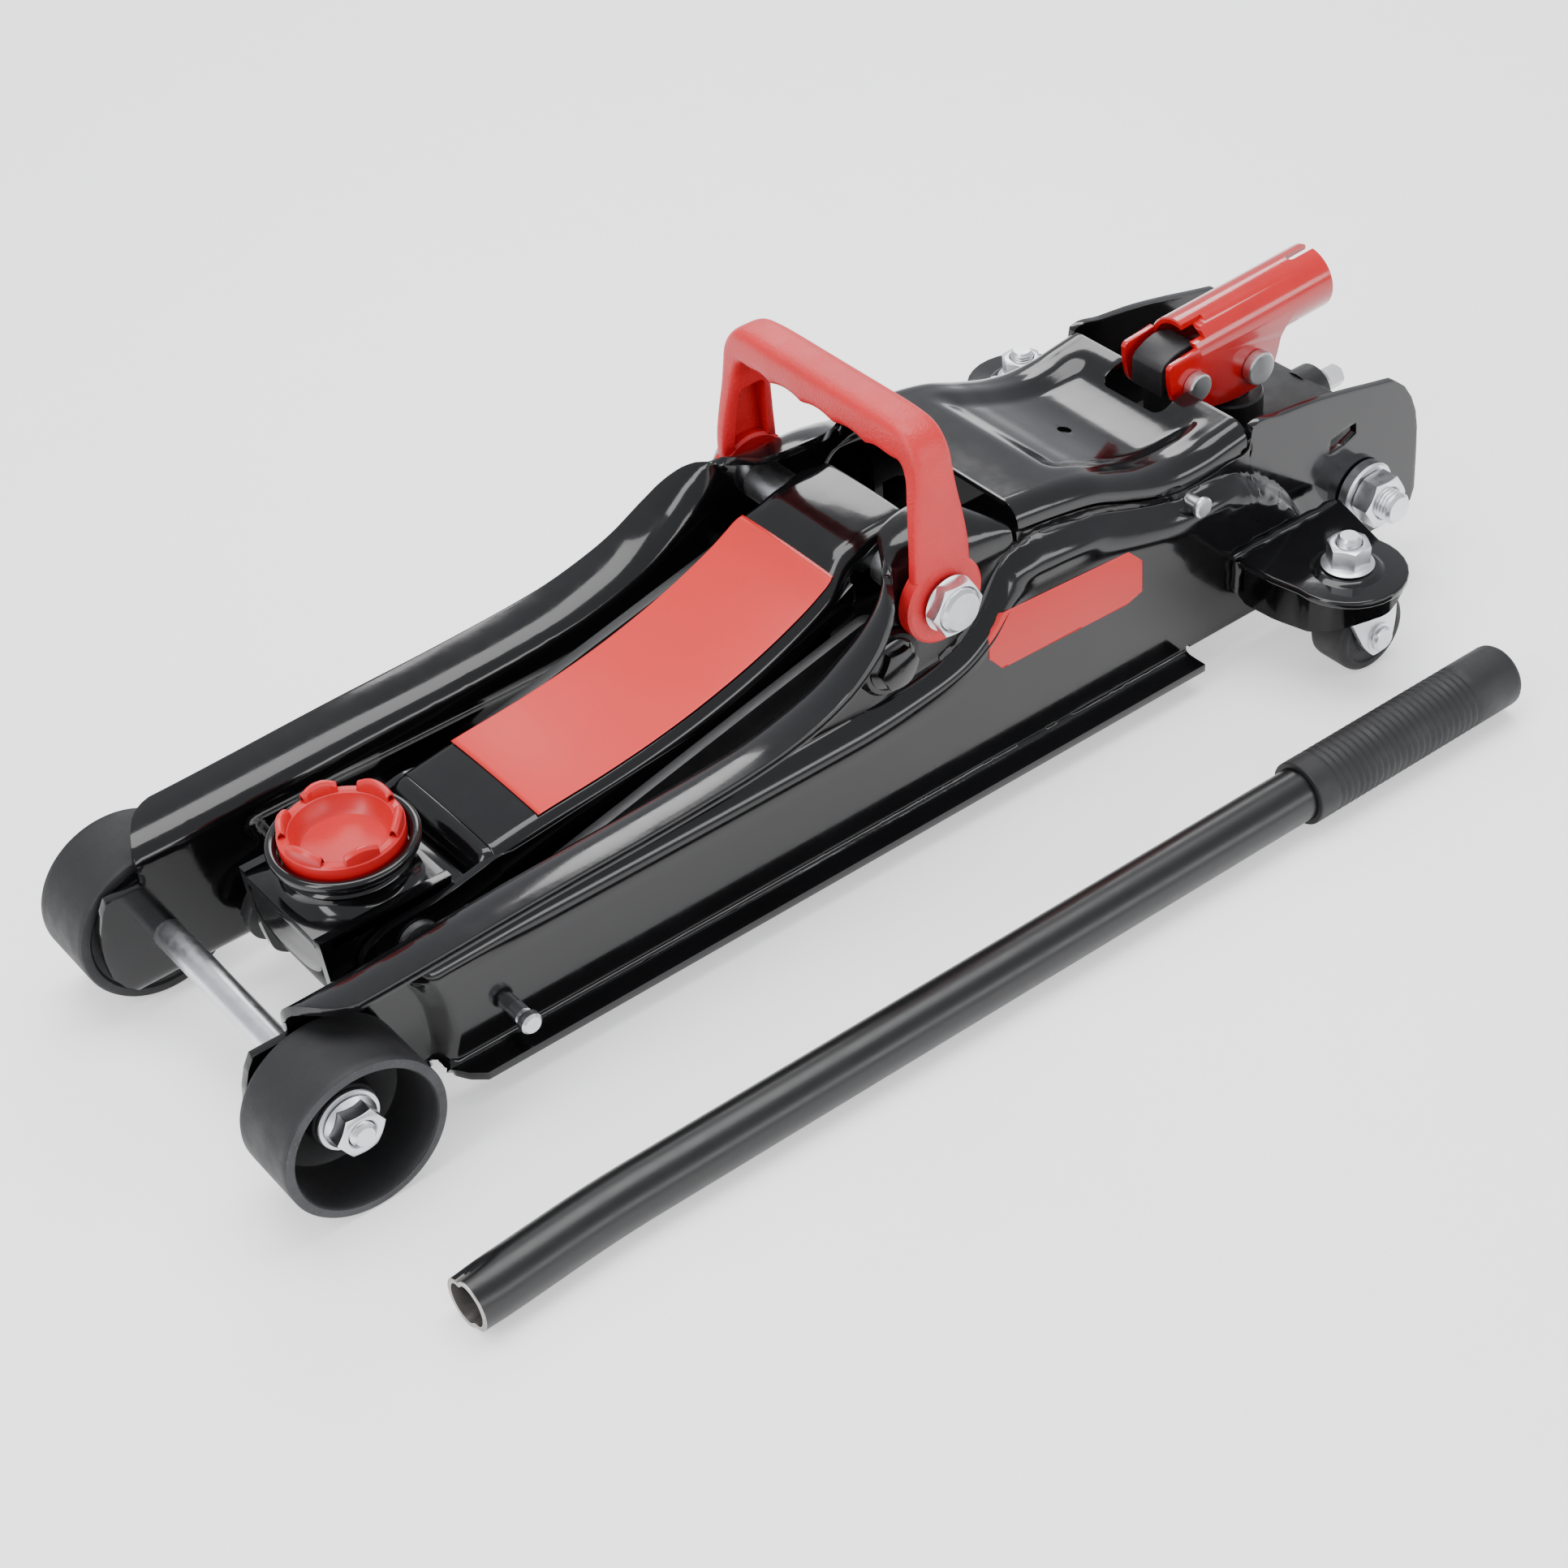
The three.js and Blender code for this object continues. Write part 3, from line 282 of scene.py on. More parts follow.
def build_materials(shades):
    material("powder coat", shades.black, (0.09, 0.17), coat=0.25, coat_rough=0.04,
             grain=(420.0, 0.000012, 0.0), tone=0.25, specular=0.34)
    material("satin coat", shades.black, (0.30, 0.38), coat=0.05, coat_rough=0.2,
             grain=(700.0, 0.00002, 0.0), tone=0.2, specular=0.45)
    material("red gloss", shades.red, (0.14, 0.24), coat=0.5, coat_rough=0.05,
             grain=(380.0, 0.000016, 0.0), tone=0.10)
    material("grained plastic", shades.handle, (0.40, 0.50), grain=(900.0, 0.00022, 0.6),
             tone=0.08, specks=(0.10, 900.0, (0.62, 0.06, 0.06), 0.6))
    material("cup plastic", shades.cup, (0.30, 0.42), grain=(600.0, 0.00001, 0.0), tone=0.07,
             specks=(0.05, 400.0, (0.36, 0.01, 0.012), 0.5))
    material("bright zinc", shades.zinc, (0.28, 0.38), metallic=1.0, grain=(1200.0, 0.000004, 0.0),
             tone=0.10, tone_scale=90.0, specks=(0.04, 500.0, (0.56, 0.57, 0.60), 0.42))
    material("machined steel", (0.46, 0.46, 0.47, 1), (0.22, 0.36), metallic=1.0, tone=0.15,
             grain=(900.0, 0.00001, 0.0), stretch=(0.06, 1, 1))
    material("raw steel", (0.40, 0.38, 0.36, 1), (0.32, 0.55), metallic=1.0, tone=0.3,
             grain=(700.0, 0.00003, 0.3), specks=(0.14, 350.0, (0.16, 0.12, 0.10), 0.7))
    material("dark casting", shades.casting, (0.38, 0.55), grain=(520.0, 0.00009, 0.4), tone=0.3,
             specks=(0.08, 320.0, (0.07, 0.07, 0.07), 0.6))
    material("moulded wheel", shades.wheel, (0.52, 0.68), grain=(800.0, 0.00006, 0.3), tone=0.2,
             specks=(0.12, 420.0, (0.03, 0.03, 0.032), 0.75),
             worn=(0.0012, 0.8, (0.05, 0.05, 0.052), 0.8), specular=0.4)
    material("cut rim", (0.045, 0.045, 0.048, 1), (0.62, 0.8), grain=(900.0, 0.00016, 0.5), tone=0.3,
             specks=(0.22, 520.0, (0.10, 0.10, 0.105), 0.85), specular=0.4)
    material("ribbed rubber", shades.rubber, (0.50, 0.66), grain=(1300.0, 0.00005, 0.4), tone=0.2,
             specks=(0.09, 600.0, (0.06, 0.06, 0.064), 0.7), specular=0.4)
    material("label print", shades.label, (0.29, 0.33), grain=(1100.0, 0.000006, 0.0), tone=0.015,
             tone_scale=20.0)
    material("pale floor", (0.90, 0.90, 0.90, 1), (0.34, 0.40), tone=0.01)
    floor = bpy.data.materials["pale floor"].node_tree.nodes["Principled BSDF"]
    floor.inputs["Emission Color"].default_value = (1, 1, 1, 1)
    floor.inputs["Emission Strength"].default_value = 0.6


# ---- shaping helpers --------------------------------------------------------------------------

def spline(points, t):
    """A smooth line through points, at t from 0 to 1 counted evenly over the points."""
    last = len(points) - 1
    s = min(max(t, 0.0), 1.0) * last
    i = min(int(s), last - 1)
    f = s - i
    p0, p1, p2, p3 = (Vector(points[min(max(i + k, 0), last)]) for k in (-1, 0, 1, 2))
    return 0.5 * ((2 * p1) + (p2 - p0) * f + (2 * p0 - 5 * p1 + 4 * p2 - p3) * f * f
                  + (3 * p1 - p0 - 3 * p2 + p3) * f ** 3)


def straight(points, t):
    """As spline, with straight runs between the points."""
    last = len(points) - 1
    s = min(max(t, 0.0), 1.0) * last
    i = min(int(s), last - 1)
    return Vector(points[i]).lerp(Vector(points[i + 1]), s - i)


def along(points, x):
    """The value at x of a smooth line through (x, value) points."""
    if x <= points[0][0]:
        return points[0][1]
    last = len(points) - 1
    if x >= points[last][0]:
        return points[last][1]
    i = next(k for k in range(last) if points[k + 1][0] > x)

    def slope(j):
        a, b = points[max(j - 1, 0)], points[min(j + 1, last)]
        return (b[1] - a[1]) / (b[0] - a[0])
    (x0, v0), (x1, v1) = points[i], points[i + 1]
    h = x1 - x0
    t = (x - x0) / h
    return (v0 * (2 * t ** 3 - 3 * t ** 2 + 1) + slope(i) * h * (t ** 3 - 2 * t ** 2 + t)
            + v1 * (3 * t ** 2 - 2 * t ** 3) + slope(i + 1) * h * (t ** 3 - t ** 2))


def smoothstep(low, high, value):
    t = min(max((value - low) / (high - low), 0.0), 1.0)
    return t * t * (3 - 2 * t)


def formed(surface, across, around):
    """A pressed sheet's middle surface: a grid whose points go where surface(u, v) says."""
    bm = bmesh.new()
    bmesh.ops.create_grid(bm, x_segments=across, y_segments=around, size=1)
    for vert in bm.verts:
        vert.co = surface((vert.co.x + 1) / 2, (vert.co.y + 1) / 2)
    return bm


def trim(bm, planes, keep=None):
    """Cuts away what lies in front of each (point, normal) plane, among the faces keep accepts."""
    for point, normal in planes:
        faces = [f for f in bm.faces if keep is None or keep(f.calc_center_median())]
        geom = list({x for f in faces for x in (*f.verts, *f.edges, f)})
        bmesh.ops.bisect_plane(bm, geom=geom, dist=1e-4, plane_co=point,
                               plane_no=Vector(normal).normalized(), clear_outer=True)


def slab(outline, low, high, axis="y", corners=None, cut=6):
    """A flat plate with the given outline and thickness; corners {index: radius} are rounded."""
    spread = {"x": lambda a, b: (low, a, b), "y": lambda a, b: (a, low, b), "z": lambda a, b: (a, b, low)}
    push = {"x": (high - low, 0, 0), "y": (0, high - low, 0), "z": (0, 0, high - low)}
    bm = bmesh.new()
    verts = [bm.verts.new(spread[axis](a, b)) for a, b in outline]
    bm.faces.new(verts)
    for index, radius in (corners or {}).items():
        bmesh.ops.bevel(bm, geom=[verts[index]], offset=radius, offset_type="OFFSET", segments=cut,
                        profile=0.5, affect="VERTICES", material=-1)
    made = bmesh.ops.extrude_face_region(bm, geom=list(bm.faces))
    bmesh.ops.translate(bm, verts=[v for v in made["geom"] if isinstance(v, bmesh.types.BMVert)],
                        vec=push[axis])
    bmesh.ops.recalc_face_normals(bm, faces=bm.faces)
    return bm


def turned(profile, centre, axis="y", steps=64):
    """A lathe piece: (radius, height) profile spun about an axis through centre."""
    turn = {"x": (lambda r, h: (h, r, 0), (1, 0, 0)), "y": (lambda r, h: (r, h, 0), (0, 1, 0)),
            "z": (lambda r, h: (r, 0, h), (0, 0, 1))}
    spread, direction = turn[axis]
    bm = bmesh.new()
    verts = [bm.verts.new(spread(r, h)) for r, h in profile]
    edges = [bm.edges.new(pair) for pair in zip(verts, verts[1:])]
    bmesh.ops.spin(bm, geom=verts + edges, cent=(0, 0, 0), axis=direction, dvec=(0, 0, 0),
                   angle=math.tau, steps=steps, use_merge=True, use_duplicate=False)
    bmesh.ops.remove_doubles(bm, verts=bm.verts, dist=1e-3)
    bmesh.ops.recalc_face_normals(bm, faces=bm.faces)
    bmesh.ops.translate(bm, verts=bm.verts, vec=centre)
    return bm


def soften(bm, width, segments=2, angle=30.0):
    """Rounds the edges that are sharper than angle."""
    sharp = [e for e in bm.edges if len(e.link_faces) == 2
             and e.calc_face_angle(0) > math.radians(angle)]
    if sharp:
        bmesh.ops.bevel(bm, geom=sharp, offset=width, offset_type="OFFSET", segments=segments,
                        profile=0.5, affect="EDGES", material=-1, clamp_overlap=True)
    return bm


def cap(bm):
    """Closes a shape's open ends and turns its faces outwards."""
    bmesh.ops.holes_fill(bm, edges=[e for e in bm.edges if e.is_boundary], sides=0)
    bmesh.ops.recalc_face_normals(bm, faces=bm.faces)
    return bm


def both_ways(half):
    """A lathe profile that is alike at both ends, given from one end to the middle."""
    return [(r, -h) for r, h in half] + [(r, h) for r, h in reversed(half)]


def fence(outline, view="side"):
    """Cutting planes that follow an outline, given in side view or seen from above."""
    place = {"side": lambda a, b: Vector((a, 0, b)), "above": lambda a, b: Vector((a, b, 0))}[view]
    return [(place(a, b), place(b - d, c - a)) for (a, b), (c, d) in zip(outline, outline[1:])]


def join(*parts):
    """One bmesh out of several."""
    whole = bmesh.new()
    for part in parts:
        mesh = bpy.data.meshes.new("joining")
        part.to_mesh(mesh)
        part.free()
        whole.from_mesh(mesh)
        bpy.data.meshes.remove(mesh)
    return whole


def moved(bm, matrix):
    bmesh.ops.transform(bm, matrix=matrix, verts=bm.verts)
    return bm


def thread_profile(radius, low, high, pitch):
    """Points of a threaded length from low to high, crest to root to crest."""
    turns = max(int((high - low) / pitch), 1)
    step = (high - low) / turns
    points = []
    for k in range(turns):
        points += [(radius, low + k * step + 0.12 * step), (radius - 0.55 * step, low + (k + 0.5) * step)]
    return points + [(radius, high - 0.12 * step)]


def bolt_end(radius, low, high, centre, axis="y", pitch=1.5):
    """A threaded rod end with a chamfered tip."""
    profile = [(0, low), (radius, low), *thread_profile(radius, low + 0.1, high - 1.2, pitch),
               (radius - 0.3, high - 1.1), (radius - 1.2, high), (0, high)]
    return turned(profile, centre, axis, 32)


def bolt_ends(radius, low, high, spot, **thread):
    """The threaded ends of a rod that crosses the jack, far side then near side."""
    ends = []
    for sign in SIDES.values():
        end = bolt_end(radius, low, high, (0, 0, 0), **thread)
        if sign < 0:
            mirror_across(end)
        bmesh.ops.translate(end, verts=end.verts, vec=spot)
        ends.append(end)
    return ends


def mirror_across(bm):
    """Turns a far-side shape into its near-side twin."""
    bmesh.ops.scale(bm, vec=(1, -1, 1), verts=bm.verts)
    bmesh.ops.reverse_faces(bm, faces=bm.faces)


def hex_body(flats, low, high, centre, axis="y", bore=0.0, flange=None):
    """A hexagon nut or head: a chamfered disc cut by six planes, on a flange if it has one."""
    half = flats / 2
    corner = half / math.cos(math.pi / 6)
    rise = (corner - half) * 0.62
    profile = [(bore, low), (half * 0.97, low), (corner, low + rise), (corner, high - rise),
               (half * 0.95, high), (bore + 0.6, high), (bore, high - 0.6)]
    if bore:
        profile.append(profile[0])
    bm = turned(profile, (0, 0, 0), axis, 48)
    for k in range(6):
        a = math.radians(60 * k + 30)
        normal = {"y": (math.cos(a), 0, math.sin(a)), "z": (math.cos(a), math.sin(a), 0),
                  "x": (0, math.cos(a), math.sin(a))}[axis]
        bmesh.ops.bisect_plane(bm, geom=[*bm.verts, *bm.edges, *bm.faces], dist=1e-4,
                               plane_co=Vector(normal) * half, plane_no=normal, clear_outer=True)
        rim = [e for e in bm.edges if e.is_boundary]
        bmesh.ops.holes_fill(bm, edges=rim, sides=0)
    bmesh.ops.translate(bm, verts=bm.verts, vec=centre)
    if flange:
        radius, thick = flange
        disc = turned([(bore, low), (radius - 0.4, low), (radius, low + 0.4), (radius, low + thick * 0.5),
                       (half, low + thick * 1.6), (bore, low + thick * 1.6), (bore, low)], centre, axis, 48)
        bm = join(bm, disc)
    return bm


def swept(path, radii, steps):
    """A round bar along a line of points, with a radius at each."""
    bm = bmesh.new()
    rings = []
    up = Vector((0, 0, 1))
    for i, (point, radius) in enumerate(zip(path, radii)):
        ahead = (Vector(path[min(i + 1, len(path) - 1)]) - Vector(path[max(i - 1, 0)])).normalized()
        side = ahead.cross(up).normalized()
        lift = side.cross(ahead)
        spot = Matrix(((side.x, lift.x, ahead.x, point[0]), (side.y, lift.y, ahead.y, point[1]),
                       (side.z, lift.z, ahead.z, point[2]), (0, 0, 0, 1)))
        made = bmesh.ops.create_circle(bm, cap_ends=False, segments=steps, radius=radius, matrix=spot)
        ring = made["verts"]
        rings.append([e for e in bm.edges if e.verts[0] in ring and e.verts[1] in ring])
        if i:
            bmesh.ops.bridge_loops(bm, edges=rings[-2] + rings[-1])
    return cap(bm)


def linked(bm, name):
    """An object in the scene that holds a shape."""
    mesh = bpy.data.meshes.new(name)
    bm.to_mesh(mesh)
    bm.free()
    made = bpy.data.objects.new(name, mesh)
    bpy.context.scene.collection.objects.link(made)
    return made


def shade(mesh, angle):
    """Smooth faces, with the edges that are sharper than angle kept crisp."""
    for polygon in mesh.polygons:
        polygon.use_smooth = True
    mesh.set_sharp_from_angle(angle=math.radians(angle))


def finish_piece(bm, name, body, look, slot, nodes=(), modifiers=()):
    """Puts a shape in the row's frame as an object that rides on a body."""
    made = linked(moved(bm, PLACE), name)
    made.data.materials.append(bpy.data.materials[look])
    for kind, values in modifiers:
        modifier = made.modifiers.new(kind.title(), kind)
        for key, value in values.items():
            setattr(modifier, key, value)
    shade(made.data, 35)
    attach(made, body)
    if nodes:
        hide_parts(*nodes)
    return made


def pair(build, name, body, look, slot, nodes=(), **rest):
    """The same piece on both sides: built for the far side, mirrored for the near side."""
    made = []
    for side, sign in SIDES.items():
        bm = build()
        if sign < 0:
            mirror_across(bm)
        made.append(finish_piece(
            bm, f"{name}_{side}", body.replace("SIDE", side), look, slot,
            [n.replace("SIDE", side) for n in nodes], **rest))
    return made


def dress(look, *names):
    """Gives CAD nodes a finish."""
    for name in names:
        mesh = frame["nodes"][name].data
        mesh.materials.clear()
        mesh.materials.append(bpy.data.materials[look])


SHEET_EDGE = ("BEVEL", {"width": 0.0007, "segments": 3, "limit_method": "ANGLE",
                        "angle_limit": math.radians(50), "harden_normals": False})


def walls(thickness=SHEET):
    return ("SOLIDIFY", {"thickness": thickness / 1000, "offset": 0.0, "use_even_offset": False})


# ---- finishes on the whole jack ----------------------------------------------------------------

class JACK_OT_finishes(bpy.types.Operator):
    """Makes every paint, plating and plastic, and dresses what keeps its first shape"""
    bl_idname = "jack.finishes"
    bl_label = "Finishes"

    def execute(self, context):
        build_groups()
        build_materials(context.scene.jack_colours)
        looks = {"black_paint": "powder coat", "red_paint": "red gloss", "red_plastic": "grained plastic",
                 "zinc": "bright zinc", "steel": "machined steel", "casting": "dark casting",
                 "wheel": "moulded wheel", "grip": "ribbed rubber"}
        for part in frame["record"]["subparts"]:
            dress(looks[part["material_slot"]], part["node"])
        return {"FINISHED"}


# ---- side plates --------------------------------------------------------------------------------

EDGE_OUT = [
    (-30, 74.5), (190, 74.5), (229, 74), (248, 71.5), (258, 66), (264, 58), (270, 46), (277, 36),
    (286, 32), (300, 31), (310, 35), (318, 42), (326, 50.5), (331, 53.2), (340, 53.25), (560, 53.25)]
EDGE_UP = [
    (-30, 74.8), (20, 75), (93, 78), (144, 79.5), (189, 82.5), (212, 87), (229, 93), (245, 103),
    (256, 112), (264, 119), (272, 123), (286, 125), (300, 125), (312, 121.5), (322, 116),
    (330, 111), (350, 108), (371, 103.6), (388, 97), (403, 91.9), (417, 89.3), (432, 89.4),
    (444, 91), (455, 92.6), (457, 102), (474, 100.5), (493, 98.3), (512, 94.6), (532, 90), (560, 84)]
EDGE_DROP = [
    (-30, 9), (212, 9), (240, 13), (262, 21), (286, 22), (306, 19), (322, 12), (331, 5), (448, 5),
    (460, 30), (560, 30)]
SHOULDER = [
    (-30, 66), (240, 66), (278, 69.5), (298, 75), (311, 85), (321, 98), (333, 105), (346, 104.5),
    (362, 101), (390, 92), (411, 87), (433, 87), (451, 82), (466, 72), (480, 57), (492, 37),
    (501, 12), (508, 0), (560, 0)]


def web_offset(x, z):
    """How far the web stands from the mid-plane: it bulges out below the shoulder."""
    behind = smoothstep(46.7, 55.7, math.hypot(x, z - AXLE_Z)) if x > 0 else 0
    return WEB + BULGE * behind * smoothstep(0, 10, along(SHOULDER, x) - z)


def plate_section(x):
    """Points of the plate's middle line at x, from the free top edge down to the foot."""
    out, up = along(EDGE_OUT, x), along(EDGE_UP, x)
    join_z = up - along(EDGE_DROP, x)
    points = []
    for t in (0, 0.16, 0.32, 0.48, 0.62, 0.74, 0.84, 0.92, 1):
        t **= 1 - 0.5 * smoothstep(444, 460, x)
        a, z = (1 - t) ** 2, up + t * t * (join_z - up)
        points.append((a * out + (1 - a) * web_offset(x, z), z))
    foot = 10 + SHEET / 2
    top = max(min(join_z - 3, along(SHOULDER, x) + 1), foot + 15)
    for t in (0, 0.08, 0.16, 0.24, 0.36, 0.52, 0.76, 1):
        z = top + (foot + 5 - top) * t
        points.append((web_offset(x, z), z))
    low = web_offset(x, foot)
    return points + [(low + 0.8, foot + 2), (low + 2.4, foot + 0.5), (low + 5.5, foot), (73.5, foot)]


def plate_stations():
    """Where the sheet is sampled along its length: closely where it changes."""
    marks = []
    for low, high, count in ((-27, 32, 24), (32, 62, 30), (62, 205, 40), (205, 338, 110),
                             (338, 452, 56), (452, 458, 12), (458, 520, 36), (520, 560, 24)):
        marks += [low + (high - low) * k / count for k in range(count)]
    return marks + [560]


def side_plate():
    stations = plate_stations()
    sections = [plate_section(x) for x in stations]

    def surface(u, v):
        i = round(u * (len(stations) - 1))
        y, z = (spline if stations[i] < 457 else straight)(sections[i], v)
        return Vector((stations[i], y, z))
    bm = formed(surface, len(stations) - 1, 76)
    nose = [(-8, 10), (-15, 12.5), (-21, 17.5), (-25, 24.5), (-26, 33), (-26, 39), (-25, 46.5), (-22.6, 54),
            (-18.6, 61), (-13.4, 66.8), (-7.4, 71), (-1, 73.8), (6, 75.6), (12, 76.4)]
    trim(bm, fence(nose), lambda c: c.x < 40)
    tip = [(-6, 52), (-3.5, 57.5), (-0.5, 62.5), (3, 67.5), (6.5, 71), (10.5, 73.4), (15, 74.8), (20, 75.4)]
    trim(bm, fence(tip, "above"), lambda c: c.z > 60 and c.x < 60)
    foot = [(47.5, 57), (49.5, 63.5), (53, 69), (58, 73.4)]
    trim(bm, fence(foot, "above"), lambda c: c.z < 20 and c.y > 57 and c.x < 90)
    trim(bm, [(Vector((424, 66, 0)), (1, 0.8, 0)), (Vector((420, 72, 0)), (1, 2.2, 0))],
         lambda c: c.z < 18 and c.y > 63 and c.x > 380)
    trim(bm, [(Vector((450, 0, 15)), (0, 0, -1))], lambda c: c.x > 418)
    heel = [(534, 91), (541, 88), (547.5, 82.5), (552.5, 75), (555.8, 67), (557.6, 58), (558.4, 45),
            (559, 26), (557.2, 20.5), (553, 16.8), (548, 15)]
    trim(bm, fence(heel), lambda c: c.x > 500)
    for hole in ([(503.2, 67.6), (512, 68.6), (519, 71.6), (518.6, 77.2), (510, 76.4), (503.6, 74.8)],
                 [(327.6, 106), (329.6, 106), (329.6, 140), (327.6, 140)]):
        punch(bm, hole)
    return tidy_rim(bm)


def tidy_rim(bm, reach=0.9):
    """Draws points that lie just inside a sheet's cut edge onto the edge."""
    rim = [v for v in bm.verts if v.is_boundary]
    found = bmesh.ops.find_doubles(bm, verts=bm.verts, keep_verts=rim, dist=reach)
    bmesh.ops.weld_verts(bm, targetmap=found["targetmap"])
    bmesh.ops.remove_doubles(bm, verts=[v for v in bm.verts if v.is_boundary], dist=reach / 2)
    bmesh.ops.dissolve_degenerate(bm, edges=bm.edges, dist=0.02)
    return bm


def punch(bm, outline):
    """Opens a convex hole through a sheet that stands upright, from a side-view outline."""
    middle = sum((Vector((x, 0, z)) for x, z in outline), Vector()) / len(outline)
    reach = max((Vector((x, 0, z)) - middle).length for x, z in outline) + 1.2
    planes = [(point, -normal) for point, normal in fence(outline + outline[:1])]

    def flat(face):
        spot = face.calc_center_median()
        return Vector((spot.x, 0, spot.z))
    for point, normal in planes:
        faces = [f for f in bm.faces if (flat(f) - middle).length < reach]
        geom = list({x for f in faces for x in (*f.verts, *f.edges, f)})
        bmesh.ops.bisect_plane(bm, geom=geom, dist=1e-4, plane_co=point, plane_no=normal.normalized())
    inside = [f for f in bm.faces if all((flat(f) - point).dot(normal) < 0 for point, normal in planes)]
    bmesh.ops.delete(bm, geom=inside, context="FACES")


def cut_out(target, *cutters):
    """Takes the cutters' shapes out of a finished piece."""
    tools = [linked(moved(bm, PLACE), f"cutter_{k}") for k, bm in enumerate(cutters)]
    for tool in tools:
        cut = target.modifiers.new("Cut", "BOOLEAN")
        cut.object = tool
        cut.solver = "EXACT"
        cut.operation = "DIFFERENCE"
    return settle(target, tools)


def settle(target, tools=()):
    """Makes the modifiers' result the piece's own mesh."""
    bpy.context.view_layer.update()
    graph = bpy.context.evaluated_depsgraph_get()
    mesh = bpy.data.meshes.new_from_object(target.evaluated_get(graph))
    target.modifiers.clear()
    target.data = mesh
    for tool in tools:
        bpy.data.objects.remove(tool)
    shade(mesh, 40)
    return target


class JACK_OT_side_plates(bpy.types.Operator):
    """Pressed side plates with rolled top flange, hood, bulged panel and foot"""
    bl_idname = "jack.side_plates"
    bl_label = "Side plates"

    def execute(self, context):
        sizes = context.scene.jack_sizes
        rim = ("BEVEL", dict(SHEET_EDGE[1], width=sizes.edge))
        for plate in pair(side_plate, "plate", "frame", *POWDER, ["side_plate_SIDE"],
                          modifiers=[walls(sizes.sheet * 1000), rim]):
            settle(plate)
        return {"FINISHED"}


# ---- cover over the pump -----------------------------------------------------------------------

COVER_TOP = [
    (331, 120.5), (350, 118), (371, 114), (388, 107.5), (403, 102.3), (417, 99.6), (432, 99.6),
    (444, 101.3), (455.4, 103)]


def top_cover():
    front, rear = COVER_ENDS
    bend = 8

    def section(x):
        top = along(COVER_TOP, x) - 1
        tray = smoothstep(360, 374, x) * smoothstep(450, 438, x)
        points = [(y, top - sink * tray) for y, sink in (
            (0, 3.2), (12, 3.2), (24, 3.2), (30, 3.1), (34, 1.6), (38, 0.1), (43, 0), (45.3, 0))]
        for deg in (18, 36, 54, 72, 90):
            a = math.radians(90 - deg)
            points.append((WEB - bend * (1 - math.cos(a)), top - bend * (1 - math.sin(a))))
        skirt = 0.4 + 10 * smoothstep(404, 412, x) * smoothstep(452, 446, x)
        return points + [(WEB, top - bend - skirt * 0.5), (WEB, top - bend - skirt)]

    def surface(u, v):
        x = front + (rear - front) * u
        y, z = spline(section(x), abs(2 * v - 1))
        return Vector((x, y if v >= 0.5 else -y, z))
    return formed(surface, 90, 96)


class JACK_OT_cover(bpy.types.Operator):
    """Pressed cover with a shallow tray, side tabs and retaining pins"""
    bl_idname = "jack.cover"
    bl_label = "Cover"

    def execute(self, context):
        cover = finish_piece(top_cover(), "cover", "frame", *POWDER, ["top_cover"], modifiers=[walls(2)])
        notch = slab([(440, -18), (460, -18), (460, 18), (440, 18)], 80, 125, "z", {0: 5, 3: 5})
        hole = turned([(0, 80), (3, 80), (3, 120), (0, 120)], (404, 0, 0), "z", 24)
        cut_out(cover, notch, hole)
        edge = cover.modifiers.new("Edge", "BEVEL")
        for key, value in SHEET_EDGE[1].items():
            setattr(edge, key, value)
        settle(cover)
        pin = [(0, 55), (3, 55), (3, 62.3), (4.4, 62.4), (4.6, 62.9), (4.4, 64.2), (3.6, 64.9), (0, 65)]
        pair(lambda: turned(pin, (421, 0, 84), "y", 32), "cover_rivet", "frame", *ZINC, ["cover_pin_SIDE"])
        return {"FINISHED"}


# ---- lifting arm -------------------------------------------------------------------------------

ARM_TOP = [
    (97, 69.5), (118, 72.5), (150, 75.5), (174, 79), (197, 84), (222, 91.5), (245, 101),
    (260, 109.5), (271, 116), (284, 118.5), (300, 119)]


def arm_half(x):
    """Half the arm's width: it narrows where the lever plates stand."""
    return 33 - 4.5 * smoothstep(256, 270, x)


def arm_section(x):
    top, half, r = along(ARM_TOP, x) - SHEET / 2, arm_half(x) - SHEET / 2, 5
    points = [(0, top + 0.7), (10, top + 0.6), (20, top + 0.3), (half - r, top)]
    for deg in (18, 36, 54, 72, 90):
        a = math.radians(90 - deg)
        points.append((half - r * (1 - math.cos(a)), top - r * (1 - math.sin(a))))
    return points + [(half, top - 9), (half, top - 14), (half, top - 20)]


def arm_skin(count, ends, lift=0.0, reach=1.0):
    """The arm's top between two ends; reach is the share of its width, from the middle."""
    front, rear = ends

    def surface(u, v):
        x = front + (rear - front) * u
        y, z = spline(arm_section(x), abs(2 * v - 1) * reach)
        return Vector((x, y if v >= 0.5 else -y, z + lift))
    return formed(surface, count, 64)


def arm_lip():
    """The front end of the arm's top, bent down over the cross bend."""
    front, bend = ARM_ENDS[0], 6

    def surface(u, v):
        a = u * math.radians(84)
        x = front - bend * math.sin(a) - 1.2 * u
        y, z = spline(arm_section(front), abs(2 * v - 1) * 0.72)
        return Vector((x, y if v >= 0.5 else -y, z - bend * (1 - math.cos(a)) - 3 * u * u))
    bm = formed(surface, 10, 48)
    bmesh.ops.reverse_faces(bm, faces=bm.faces)
    return bm


